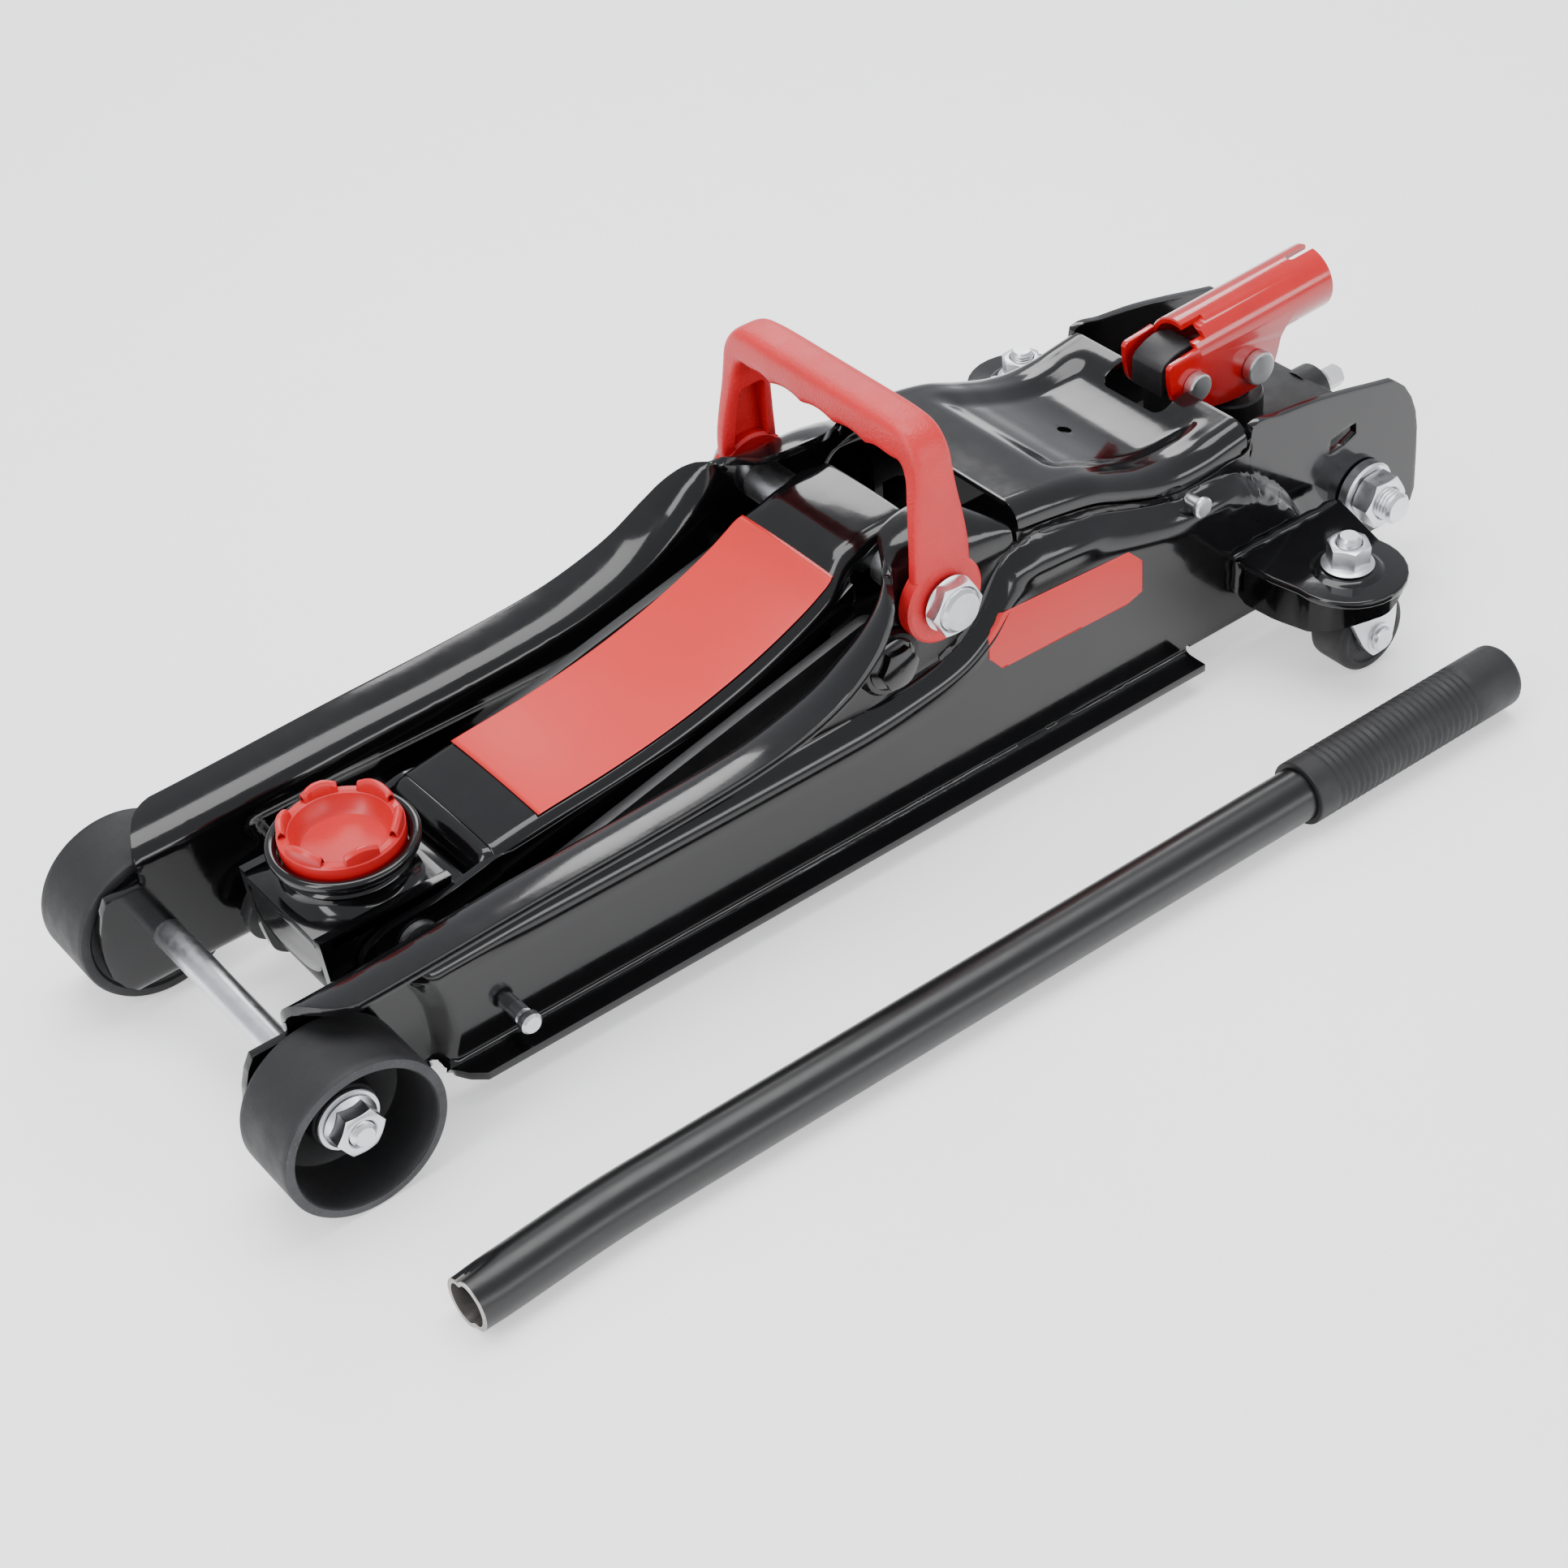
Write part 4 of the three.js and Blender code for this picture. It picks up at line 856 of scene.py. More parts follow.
class JACK_OT_arm(bpy.types.Operator):
    """Pressed lifting arm with its cheeks, lever plates, pins and blank label"""
    bl_idname = "jack.arm"
    bl_label = "Lifting arm"

    def execute(self, context):
        finish_piece(arm_skin(110, ARM_ENDS), "arm_top", "arm", *POWDER, ["lift_arm"],
                     modifiers=[walls(), SHEET_EDGE])
        finish_piece(arm_lip(), "arm_lip", "arm", *POWDER, modifiers=[walls(2.6), SHEET_EDGE])
        cheek = [(34, 47), (41, 38), (60, 36), (120, 44), (200, 58), (250, 78), (266, 92), (266, 106),
                 (236, 90), (190, 76), (140, 70), (104, 66.5), (97, 67.4), (84, 64.2), (70, 62), (51, 60.8),
                 (40, 58)]
        lever = [(236, 92), (230, 77), (262, 78), (298, 56), (308, 45), (324, 43), (333, 52), (330, 66),
                 (307, 104), (304, 112), (296, 116.4), (287, 117), (262, 106)]
        for side, sign in SIDES.items():
            outer = slab(cheek, *sorted((29.5 * sign, 33 * sign)), "y",
                         {0: 9, 1: 9, 2: 20, 10: 30, 12: 3, 13: 8, 16: 10}, 8)
            inner = slab(lever, *sorted((24 * sign, 28.5 * sign)), "y",
                         {3: 8, 4: 6, 5: 6, 6: 8, 7: 8, 9: 4, 10: 6, 11: 8}, 8)
            finish_piece(soften(join(outer, inner), 0.7, 3), f"arm_cheek_{side}", "arm", *POWDER)
            weld = swept([(224 + 8 * k, sign * 27.6, 74 + 3.2 * k) for k in range(6)],
                         [2.2, 3.0, 2.6, 3.1, 2.7, 2.0], 16)
            finish_piece(weld, f"arm_weld_{side}", "arm", *POWDER)
        tie = slab([(236, 74), (252, 76), (252, 80), (236, 78)], -30, 30, "y")
        finish_piece(soften(tie, 0.6), "arm_tie", "arm", *POWDER)
        bridge = slab([(81.6, 56.6), (100, 53), (100, 56), (81.6, 59.6)], -29.4, 29.4, "y")
        finish_piece(soften(bridge, 0.7), "arm_bridge", "arm", *POWDER)
        front, rear = LABEL_ENDS
        label = arm_skin(70, LABEL_ENDS, SHEET / 2 + 0.5, 3.0 / 11)
        for end, way in ((front + 1.2, -1), (rear - 1.2, 1)):
            trim(label, [(Vector((end, s * 29, 0)), (way, s, 0)) for s in (1, -1)])
        bmesh.ops.scale(label, vec=(1, 1.12, 1), verts=label.verts)
        finish_piece(label, "arm_label", "arm", *LABEL, modifiers=[walls(0.2)])
        plain = [(0, 28.4), (5.4, 28.4), (6, 27.8)]
        headed = [(0, 35.6), (7.6, 35.6), (8.5, 34.9), (8.5, 33.3), (6, 33.3)]
        for name, spot, half in (("lever_pin", LEVER_PIN, plain), ("saddle_pin", SADDLE_PIN, headed)):
            finish_piece(turned(both_ways(half), spot, "y", 40), f"{name}_shaft", "arm", *STEEL, [name])
        return {"FINISHED"}


# ---- saddle --------------------------------------------------------------------------------------

def saddle_cup(tabs):
    cup = turned([(0, 75.4), (21.8, 75.4), (22.8, 76.2), (23.4, 80), (23.5, 85.4), (22.6, 86.4),
                  (20.4, 86.6), (19.2, 85.8), (17.4, 80.2), (15.8, 78.7), (0, 78.5)], SADDLE, "z", 96)
    parts = [cup]
    for k in range(tabs):
        centre = math.tau * k / tabs + 0.35
        half = math.pi / tabs * (0.64 + 0.08 * math.sin(2.3 * k + 1))

        def surface(u, v):
            a = centre + half * (2 * u - 1)
            height = 89.4 + 2.4 * math.cos((2 * u - 1) * math.pi / 2)
            wall = ((19.5, 84), (19.9, height - 1.2), (20.8, height), (21.9, height), (22.9, height - 1.2),
                    (23.2, 84))
            r, z = wall[round(v * 5)]
            return Vector((SADDLE.x + r * math.cos(a), r * math.sin(a), z))
        parts.append(soften(cap(formed(surface, 14, 5)), 0.5, 2, 50))
    return join(*parts)


def yoke_flare():
    """The cast neck that spreads from the collar out to the yoke's square deck."""
    neck_top, deck_top = 70.8, 64

    def surface(u, v):
        a = math.tau * u
        grow = (abs(math.cos(a)) ** 5 + abs(math.sin(a)) ** 5) ** -0.2
        neck = Vector((SADDLE.x + 23.4 * math.cos(a), 23.4 * math.sin(a), neck_top))
        deck = Vector((52 + 27 * grow * math.cos(a), 27.4 * grow * math.sin(a), deck_top))
        spot = neck.lerp(deck, v ** 1.9)
        spot.z = neck_top - 6.8 * (1 - (1 - v) ** 1.7)
        return spot
    bm = formed(surface, 96, 12)
    bmesh.ops.remove_doubles(bm, verts=bm.verts, dist=1e-3)
    return cap(bm)


class JACK_OT_saddle(bpy.types.Operator):
    """Saddle yoke, grooved collar and the moulded cup with its tabs"""
    bl_idname = "jack.saddle"
    bl_label = "Saddle"

    def execute(self, context):
        collar = turned([
            (0, 58), (13.4, 58), (14, 58.6), (14, 61.6), (11.9, 61.8), (11.9, 71.2), (23.4, 71.3), (24.4, 72),
            (25.3, 73.4), (24.6, 74.6), (23.4, 75.2), (23.6, 76), (26.6, 76.8), (28, 78), (28.6, 79.6),
            (28.6, 81), (28, 81.9), (27, 82.3), (25.6, 82.1), (24.6, 81.2), (24.2, 79.5), (24, 75.2),
            (0, 75.2)], SADDLE, "z", 96)
        finish_piece(collar, "collar_ring", "saddle", *POWDER, ["saddle_collar"])
        finish_piece(saddle_cup(context.scene.jack_sizes.cup_tabs), "cup", "saddle", "cup plastic",
                     "red_paint", ["saddle_cup"])
        cheek = [(24, 66), (26, 36), (30, 20), (42, 18), (50, 26), (72, 44), (78, 56), (80, 66)]
        parts = [slab(cheek, *sorted((24.5 * s, 28.5 * s)), "y", {1: 10, 2: 9, 3: 8, 4: 8, 5: 8, 6: 12}, 8)
                 for s in SIDES.values()]
        deck = [(24, -28.5), (80, -28.5), (80, 28.5), (24, 28.5)]
        parts.append(slab(deck, 61, 64.6, "z", {0: 5, 1: 5, 2: 5, 3: 5}))
        apron = [(-24.6, 64), (24.6, 64), (24.6, 50), (15, 43), (-15, 43), (-24.6, 50)]
        parts.append(slab(apron, 25, 28.4, "x", {2: 5, 3: 8, 4: 8, 5: 5}))
        parts.append(yoke_flare())
        ring = [(12.3, 66.5), (20, 66.5), (21, 67.2), (21, 70.4), (20.2, 71), (12.3, 71), (12.3, 66.5)]
        parts.append(turned(ring, SADDLE, "z", 64))
        finish_piece(soften(join(*parts), 0.9, 3), "yoke", "yoke", *POWDER, ["saddle_yoke"])
        return {"FINISHED"}


# ---- levelling links ----------------------------------------------------------------------------

class JACK_OT_links(bpy.types.Operator):
    """Flat levelling links, their front pin and the bolts they hang on"""
    bl_idname = "jack.links"
    bl_label = "Levelling links"

    def execute(self, context):
        run = LINK_PIVOT - LINK_PIN
        reach, tilt = run.length, math.atan2(run.z, run.x)

        def link():
            bar = slab([(-11, -11), (reach + 11, -11), (reach + 11, 11), (-11, 11)], 37, 42, "y",
                       {0: 10.9, 1: 10.9, 2: 10.9, 3: 10.9}, 12)
            turn = Matrix.Rotation(-tilt, 4, "Y")
            return moved(soften(bar, 0.5, 2), Matrix.Translation(LINK_PIN) @ turn)
        pair(link, "link_bar", "links", *CASTING, ["level_link_SIDE"])
        shaft = turned(both_ways([(0, 44), (6, 44)]), LINK_PIN, "y", 40)
        heads = [hex_body(17, *sorted((42.3 * s, 47 * s)), LINK_PIN) for s in SIDES.values()]
        finish_piece(join(shaft, *heads), "link_shaft", "links", "dark casting", "steel", ["link_pin"])

        def bolt():
            head = hex_body(16, 57.6, 63.4, LINK_PIVOT, flange=(11, 1.6))
            dish = turned([(6, 55.1), (13.6, 55.1), (14.4, 56), (13, 57.8), (6, 57.8), (6, 55.1)],
                          LINK_PIVOT, "y", 48)
            return join(head, dish, turned([(0, 36), (6, 36), (6, 58), (0, 58)], LINK_PIVOT, "y", 32))
        pair(bolt, "link_screw", "frame", *POWDER, ["link_bolt_SIDE"])
        return {"FINISHED"}


# ---- carry handle -------------------------------------------------------------------------------

def carry_handle():
    """A moulded grip on two legs whose open side faces in, with finger scallops."""
    line = [(59.3, 115), (59.3, 120), (59.2, 127), (58, 138), (56.6, 148), (55.6, 157), (53.4, 164.5),
            (48.5, 168.8), (41, 169.6), (30, 169.6), (15, 169.6), (0, 169.6)]
    section = [(13.5, 3.8), (13.4, 3.8), (13, 3.9), (11.8, 4.1), (10.4, 4.4), (9.2, 5), (8.9, 6.2), (9, 7.6),
               (9.3, 8.2), (9.6, 8.4), (9.6, 8.4), (9.6, 8.4)]
    squareness, finger = 0.55, 19.0

    def surface(u, v):
        side = 1 if u >= 0.5 else -1
        t = 1 - abs(2 * u - 1)
        y, z = spline(line, t)
        ahead = (spline(line, min(t + 0.01, 1)) - spline(line, max(t - 0.01, 0))).normalized()
        out = Vector((0, 1)) if t > 0.995 else Vector((ahead.y, -ahead.x))
        a = math.tau * v
        half = spline(section, t)
        c, s = math.cos(a), math.sin(a)
        px = half.x * math.copysign(abs(c) ** squareness, c)
        po = half.y * math.copysign(abs(s) ** squareness, s)
        if s < 0:
            scallop = 1.9 * abs(math.sin(math.pi * (y / finger + 0.5))) ** 0.8
            po += (scallop - 0.6) * smoothstep(0.70, 0.82, t) * min(1, -s * 2)
        return Vector((PIVOT.x + px, side * (y + out.x * po), z + out.y * po))
    bm = formed(surface, 220, 48)
    bmesh.ops.remove_doubles(bm, verts=bm.verts, dist=1e-3)
    return cap(bm)


class JACK_OT_handle(bpy.types.Operator):
    """Moulded carry handle with eyes on the arm's pivot, and the pivot's nuts"""
    bl_idname = "jack.handle"
    bl_label = "Carry handle"

    def execute(self, context):
        handle = finish_piece(carry_handle(), "handle_moulding", "handle", *MOULDED, ["carry_handle"])
        eyes, troughs = [], []
        for s in SIDES.values():
            low, high = sorted((55.6 * s, 63 * s))
            eyes.append(turned([(9.7, low), (17, low), (18.2, low + 1), (18.2, high - 1), (17, high),
                                (9.7, high), (9.7, low)], PIVOT, "y", 72))
            trough = slab([(-8.6, 118), (8.6, 118), (6.4, 148), (-6.4, 148)], *sorted((50 * s, 60.6 * s)),
                          "y", {0: 3, 1: 3, 2: 3, 3: 3})
            bmesh.ops.translate(trough, verts=trough.verts, vec=(PIVOT.x, 0, 0))
            troughs.append(trough)
        cut_out(handle, *troughs)
        finish_piece(join(*eyes), "handle_eyes", "handle", *MOULDED)
        shaft = turned(both_ways([(0, 62), (9, 62)]), PIVOT, "y", 48)
        ends = bolt_ends(9, 60, 73, PIVOT)
        finish_piece(join(shaft, *ends), "pivot_rod", "frame", *ZINC, ["pivot_shaft"])
        pair(lambda: hex_body(21, 64.6, 70.8, PIVOT, bore=9.2, flange=(11.8, 0.8)), "pivot_hex", "frame",
             *ZINC, ["pivot_nut_SIDE"])
        return {"FINISHED"}


# ---- front wheels -------------------------------------------------------------------------------

def front_wheel(r):
    """A moulded wheel of radius r, open on its outer side, with a cut rim."""
    return turned([
        (6.4, 58.6), (13, 58.6), (13.6, 58.1), (r - 9, 58.1), (r - 8, 59), (r - 5, 59), (r - 4, 58.1),
        (r - 1.4, 58.1), (r - 0.5, 58.6), (r - 0.05, 59.6), (r, 61), (r, 74), (r, 87.4), (r, 89.8),
        (r - 0.3, 90.3), (r - 0.8, 90.5), (r - 3.5, 90.5), (r - 3.9, 90.2), (r - 4.2, 89.6), (r - 4.4, 87),
        (r - 4.8, 84), (r - 5.6, 70), (r - 6.4, 67), (r - 8.6, 65.6), (16, 65.2), (14.4, 66), (13.8, 68),
        (13.3, 75.4), (12.8, 76), (6.4, 76), (6.4, 58.6)], (0, 0, AXLE_Z), "y", 128)


class JACK_OT_wheels(bpy.types.Operator):
    """Front wheels on their plated axle, with washers and flanged nuts"""
    bl_idname = "jack.wheels"
    bl_label = "Front wheels"

    def execute(self, context):
        radius = context.scene.jack_sizes.wheel_radius * 1000
        centre = Vector((0, 0, AXLE_Z))
        back = PLACE.inverted()
        rim = 90.35
        for wheel in pair(lambda: front_wheel(radius), "roller", "wheel_SIDE", "moulded wheel", "wheel",
                          ["front_wheel_SIDE"]):
            wheel.data.materials.append(bpy.data.materials["cut rim"])
            for polygon in wheel.data.polygons:
                polygon.material_index = int(abs((back @ polygon.center).y) > rim)
        rod = [turned(both_ways([(0, 78), (5.6, 78), (6, 77.6)]), centre, "y", 48)]
        rod += bolt_ends(5, 77, 89, centre, pitch=1.25)
        finish_piece(join(*rod), "axle_rod", "frame", *ZINC, ["front_axle"])
        washer = [(6.3, 76.3), (12.1, 76.3), (12.5, 76.7), (12.5, 77.9), (12.1, 78.3), (6.3, 78.3),
                  (6.3, 76.3)]
        pair(lambda: turned(washer, centre, "y", 64), "axle_shim", "frame", *ZINC, ["axle_washer_SIDE"])
        pair(lambda: hex_body(17, 78.5, 87, centre, bore=5.3, flange=(10.6, 1.5)), "axle_hex", "frame",
             *ZINC, ["axle_nut_SIDE"])
        return {"FINISHED"}


# ---- hydraulic unit ------------------------------------------------------------------------------

class JACK_OT_pump(bpy.types.Operator):
    """Pump block with its ear, cylinder, ram and fork, plunger and release screw"""
    bl_idname = "jack.pump"
    bl_label = "Hydraulic unit"

    def execute(self, context):
        self.block()
        self.ram()
        self.controls()
        self.supports()
        return {"FINISHED"}

    def block(self):
        """The casting, with the ear that the socket turns on and the screws in its top."""
        body = slab([(456, 24), (545, 24), (545, 66), (456, 66)], -33, 33, "y", {0: 5, 1: 5, 2: 4, 3: 4})
        ear = [(449.6, 98), (449.6, 110.4), (451.6, 112.8), (457, 115.6)]
        for k in range(9):
            a = math.radians(96 - 96 * k / 8)
            ear.append((SOCKET_PIVOT.x + 15.4 * math.cos(a), SOCKET_PIVOT.z + 15.4 * math.sin(a)))
        ear += [(478.4, 67), (456.3, 67), (456.3, 98)]
        boss = turned([(8.4, 60), (14.2, 60), (15, 61), (15, 76.8), (14.2, 77.8), (9.4, 78), (8.4, 77),
                       (8.4, 60)], (ROLLER.x, 0, 0), "z", 48)
        neck = turned([(7.4, 540), (11, 540), (11, 551), (10, 552), (7.4, 552), (7.4, 540)], VALVE, "x", 32)
        screws = [hex_body(12, 66, 70, (486, y, 0), "z") for y in (22, -22)]
        whole = join(soften(body, 1.5, 3), soften(slab(ear, -8.9, 8.9, "y"), 0.9, 3), boss, neck, *screws)
        finish_piece(whole, "pump_casting", "frame", *CASTING, ["pump_block"])

    def ram(self):
        """The cylinder, and the ram with its slotted fork."""
        tube = turned([(13.3, 350), (25.4, 350), (27, 351.4), (27, 448), (26, 450), (26, 455.4),
                       (13.3, 455.4), (13.3, 350)], CYLINDER, "x", 72)
        finish_piece(tube, "cylinder", "frame", *CASTING, ["cylinder_tube"])
        rod = turned([(0, 334), (12, 334), (13, 335), (13, 448), (0, 448)], CYLINDER, "x", 64)
        finish_piece(rod, "ram", "ram", *STEEL, ["ram_rod"])
        block = slab([(304, 36), (333.7, 36), (333.7, 70), (304, 70)], -14, 14, "y", {0: 6, 1: 3, 2: 3, 3: 6})
        fork = finish_piece(soften(block, 1.0, 3), "fork", "ram", *CASTING, ["ram_fork"])
        cut_out(fork, slab([(311.3, 40.5), (325.3, 40.5), (325.3, 65), (311.3, 65)], -20, 20, "y",
                           {0: 6.9, 1: 6.9, 2: 6.9, 3: 6.9}, 10))

    def controls(self):
        """The plunger that the bar works, and the release screw."""
        plunger = turned([(0, 56), (8, 56), (8, 86.6), (7.4, 87.6), (6, 88.2), (0, 88.2)],
                         (ROLLER.x, 0, 0), "z", 48)
        finish_piece(plunger, "plunger", "plunger", *STEEL, ["pump_plunger"])
        screw = join(turned([(0, 538), (7, 538), (7, 555.4), (6.4, 556), (0, 556)], VALVE, "x", 40),
                     hex_body(9, 555, 566, VALVE, "x"))
        finish_piece(screw, "release_screw", "release", *STEEL, ["release_valve"])

    def supports(self):
        """The upright wall that holds the cylinder, and the brace between the side plates."""
        half = WEB - SHEET / 2 - 0.3
        upright = slab([(-half, 20), (half, 20), (half, 74), (40, 80), (-40, 80), (-half, 74)], 348, 356, "x",
                       {0: 4, 1: 4, 3: 8, 4: 8})
        wall = finish_piece(soften(upright, 0.7), "cylinder_wall", "frame", *POWDER, ["cylinder_mount"])
        cut_out(wall, turned([(0, 340), (27.3, 340), (27.3, 370), (0, 370)], CYLINDER, "x", 72))

        def surface(u, v):
            swell = 2.2 * smoothstep(0.1, 0.3, u) * smoothstep(0.9, 0.7, u)
            return Vector((118 + 50 * u, half * (2 * v - 1), 13.8 + swell))
        finish_piece(formed(surface, 24, 6), "brace", "frame", *POWDER, ["front_brace"],
                     modifiers=[walls(3), SHEET_EDGE])


# ---- handle socket ------------------------------------------------------------------------------

class JACK_OT_socket(bpy.types.Operator):
    """Red socket for the bar: split tube on two jaws, with its pins and rear lug"""
    bl_idname = "jack.socket"
    bl_label = "Handle socket"

    def execute(self, context):
        tilt = Matrix.Translation((544.7, 0, 114.5)) @ Matrix.Rotation(math.radians(-2.8), 4, "Y")
        tube = turned([(12, -79), (13.9, -79), (14.5, -78.4), (14.5, -0.6), (13.9, 0), (12.5, 0),
                       (12, -0.5), (12, -79)], (0, 0, 0), "x", 96)
        socket = finish_piece(moved(tube, tilt), "socket_tube", "socket", *GLOSS, ["handle_socket"])
        gap = slab([(-14, -2.3), (6, -2.3), (6, 2.3), (-14, 2.3)], 4, 30, "z", {0: 2.2, 3: 2.2})
        belly = slab([(-90, -11.99), (-30, -11.99), (-30, 11.99), (-90, 11.99)], -40, 1, "z", {1: 5, 2: 5})
        step = slab([(-90, 8), (-73, 8), (-73, 12), (-68, 12), (-68, 40), (-90, 40)], -40, -4, "y",
                    {2: 2, 3: 2})
        cut_out(socket, moved(gap, tilt), moved(belly, tilt), moved(step, tilt))
        jaw = [(449, 115), (449.3, 104), (453, 95), (461, 89.6), (476, 85), (497, 83), (508, 86.5),
               (512, 95), (514, 104), (523, 113.6), (468, 112.4), (465.6, 117)]
        for side, sign in SIDES.items():
            plate = soften(slab(jaw, *sorted((12 * sign, 14.5 * sign)), "y",
                                {0: 2, 1: 6, 2: 6, 3: 6, 4: 9, 5: 9, 6: 7, 7: 8, 8: 8}, 6), 0.6, 3)
            finish_piece(plate, f"socket_jaw_{side}", "socket", *GLOSS)
        lug = slab([(518, 106), (521, 95), (526, 90.4), (539, 89.6), (545, 94), (546.5, 100), (542, 106)],
                   8, 10.6, "y", {1: 5, 2: 4, 3: 5, 4: 4, 5: 4})
        finish_piece(soften(lug, 0.6, 3), "socket_lug", "socket", *GLOSS)
        for name, spot, r, head in (("socket_pivot", SOCKET_PIVOT, 5.2, 6.2),
                                    ("socket_roller", ROLLER, 6, 7.4)):
            profile = both_ways([(0, 19.2), (head - 1.6, 19.3), (head - 0.6, 19.2), (head, 18.5),
                                 (head, 14.8), (r, 14.8)])
            finish_piece(turned(profile, spot, "y", 48), f"{name}_rivet", "socket", *ZINC, [f"{name}_pin"])
        return {"FINISHED"}


# ---- rear cross bolt and small studs -----------------------------------------------------------------

class JACK_OT_hardware(bpy.types.Operator):
    """Rear cross bolt with spacers and nuts, and the studs on the foot of the side plates"""
    bl_idname = "jack.hardware"
    bl_label = "Bolts and studs"

    def execute(self, context):
        parts = [turned(both_ways([(0, 62), (7, 62)]), REAR_BOLT, "y", 48)]
        parts += bolt_ends(7, 61, 78, REAR_BOLT, pitch=1.6)
        finish_piece(join(*parts), "cross_bolt", "frame", *ZINC, ["rear_cross_bolt"])
        spacer = [(7.3, 55.3), (13, 55.3), (14, 55.9), (14, 60.2), (13, 61), (7.3, 61), (7.3, 55.3)]
        pair(lambda: turned(spacer, REAR_BOLT, "y", 64), "cross_spacer", "frame", *ZINC,
             ["rear_spacer_SIDE"])
        pair(lambda: hex_body(21, 61.3, 71, REAR_BOLT, bore=7.3), "cross_hex", "frame", *ZINC,
             ["rear_nut_SIDE"])
        stud = [(0, 54.8), (5.2, 55), (5.2, 56.2), (3.5, 56.8), (3.5, 67.6), (2.7, 68), (2.7, 69),
                (3.5, 69.4), (4.4, 70), (4.6, 70.8), (4.4, 73), (3.4, 74), (0, 74)]
        pair(lambda: turned(stud, FOOT_STUD, "y", 40), "foot_stud", "frame", *ZINC, ["stud_pin_SIDE"])
        return {"FINISHED"}


# ---- casters ------------------------------------------------------------------------------------------

def wing_outline():
    x, y = CASTER.x, CASTER.y
    root, radius = 62.3, 25
    points = [(443, root), (440.5, 69), (441.5, 84)]
    for k in range(17):
        a = math.radians(188 - 200 * k / 16)
        points.append((x + radius * math.cos(a), y + radius * math.sin(a)))
    return points + [(497, 82), (503, root)]


def caster_wing():
    """The wing's plate, its turned-down skirt, the boss under the nut and the weld beads."""
    outline = wing_outline()
    plate = soften(slab(outline, 46.5, 50, "z"), 1.1, 4)
    last = len(outline) - 8

    def skirt(u, v):
        s = u * (last - 1)
        i = min(int(s), last - 2)
        a, b = Vector(outline[i]), Vector(outline[i + 1])
        inward = Vector((b.y - a.y, a.x - b.x)).normalized()
        spot = a + (b - a) * (s - i) + inward * 1.5
        depth = 17.5 - 11 * smoothstep(0.15, 0.75, u) - 4 * smoothstep(0.8, 1, u)
        return Vector((spot.x, spot.y, 49 - depth * v))
    wall = formed(skirt, 60, 6)
    bmesh.ops.solidify(wall, geom=wall.faces, thickness=3)
    bmesh.ops.recalc_face_normals(wall, faces=wall.faces)
    soften(wall, 0.7, 2, 50)
    boss = turned([(5.6, 49.6), (15.5, 49.8), (14.2, 50.5), (13.2, 51.4), (12.4, 51.6), (5.6, 51.6),
                   (5.6, 49.6)], CASTER, "z", 64)
    bead = swept([(440 + 5 * k, 62.9 + 0.4 * math.sin(k * 2.1), 49.6) for k in range(13)],
                 [1.4, 2.3, 1.9, 2.5, 2.0, 2.4, 1.9, 2.5, 2.1, 2.4, 1.9, 2.2, 1.3], 14)
    fall = swept([(442.6 - 0.1 * k, 63.4 + 0.5 * math.sin(k * 1.7), 48 - 4 * k) for k in range(5)],
                 [2.2, 2.8, 2.2, 2.6, 1.6], 14)
    return join(plate, wall, boss, bead, fall)


def caster_fork():
    """Two cheeks with the rivet's heads on them, under the swivel's round plate."""
    x, y = CASTER.x, CASTER.y
    cheek = [(x - 13, 45.9), (x - 12, 38), (469, 14), (475, 8.6), (481.5, 10.4), (485.6, 17), (486, 30),
             (x + 16, 45.9)]
    parts = []
    for s in SIDES.values():
        low, high = sorted((y + 10.4 * s, y + 12.9 * s))
        parts.append(soften(slab(cheek, low, high, "y", {1: 4, 2: 6, 3: 6, 4: 6, 5: 8, 6: 10}, 6), 0.5, 2))
        head = ([(0, low - 0.1), (6.6, low - 0.1), (6.6, high + 0.5), (5.8, high + 0.9), (0, high + 0.9)]
                if s > 0 else
                [(0, low - 0.9), (5.8, low - 0.9), (6.6, low - 0.5), (6.6, high + 0.1), (0, high + 0.1)])
        parts.append(turned(head, CASTER_HUB, "y", 40))
    parts.append(turned([(5.4, 43), (16, 43), (16.5, 43.6), (16.2, 45.4), (15.4, 46), (5.4, 46), (5.4, 43)],
                        (x + 1, y, 0), "z", 64))
    return join(*parts)


def caster_wheel():
    y, face = CASTER.y, 9.6
    half = [(3.8, face - 0.8), (6.6, face), (8.6, face), (9.2, face - 1.1), (13.2, face - 1.1),
            (14, face - 0.2), (15.6, face), (16.8, face - 0.4), (17.7, face - 1.4), (18, face - 3)]
    profile = [(r, -z) for r, z in half] + [(18, 0)] + [(r, z) for r, z in reversed(half)]
    profile.append(profile[0])
    return turned([(r, y + z) for r, z in profile], CASTER_HUB, "y", 96)


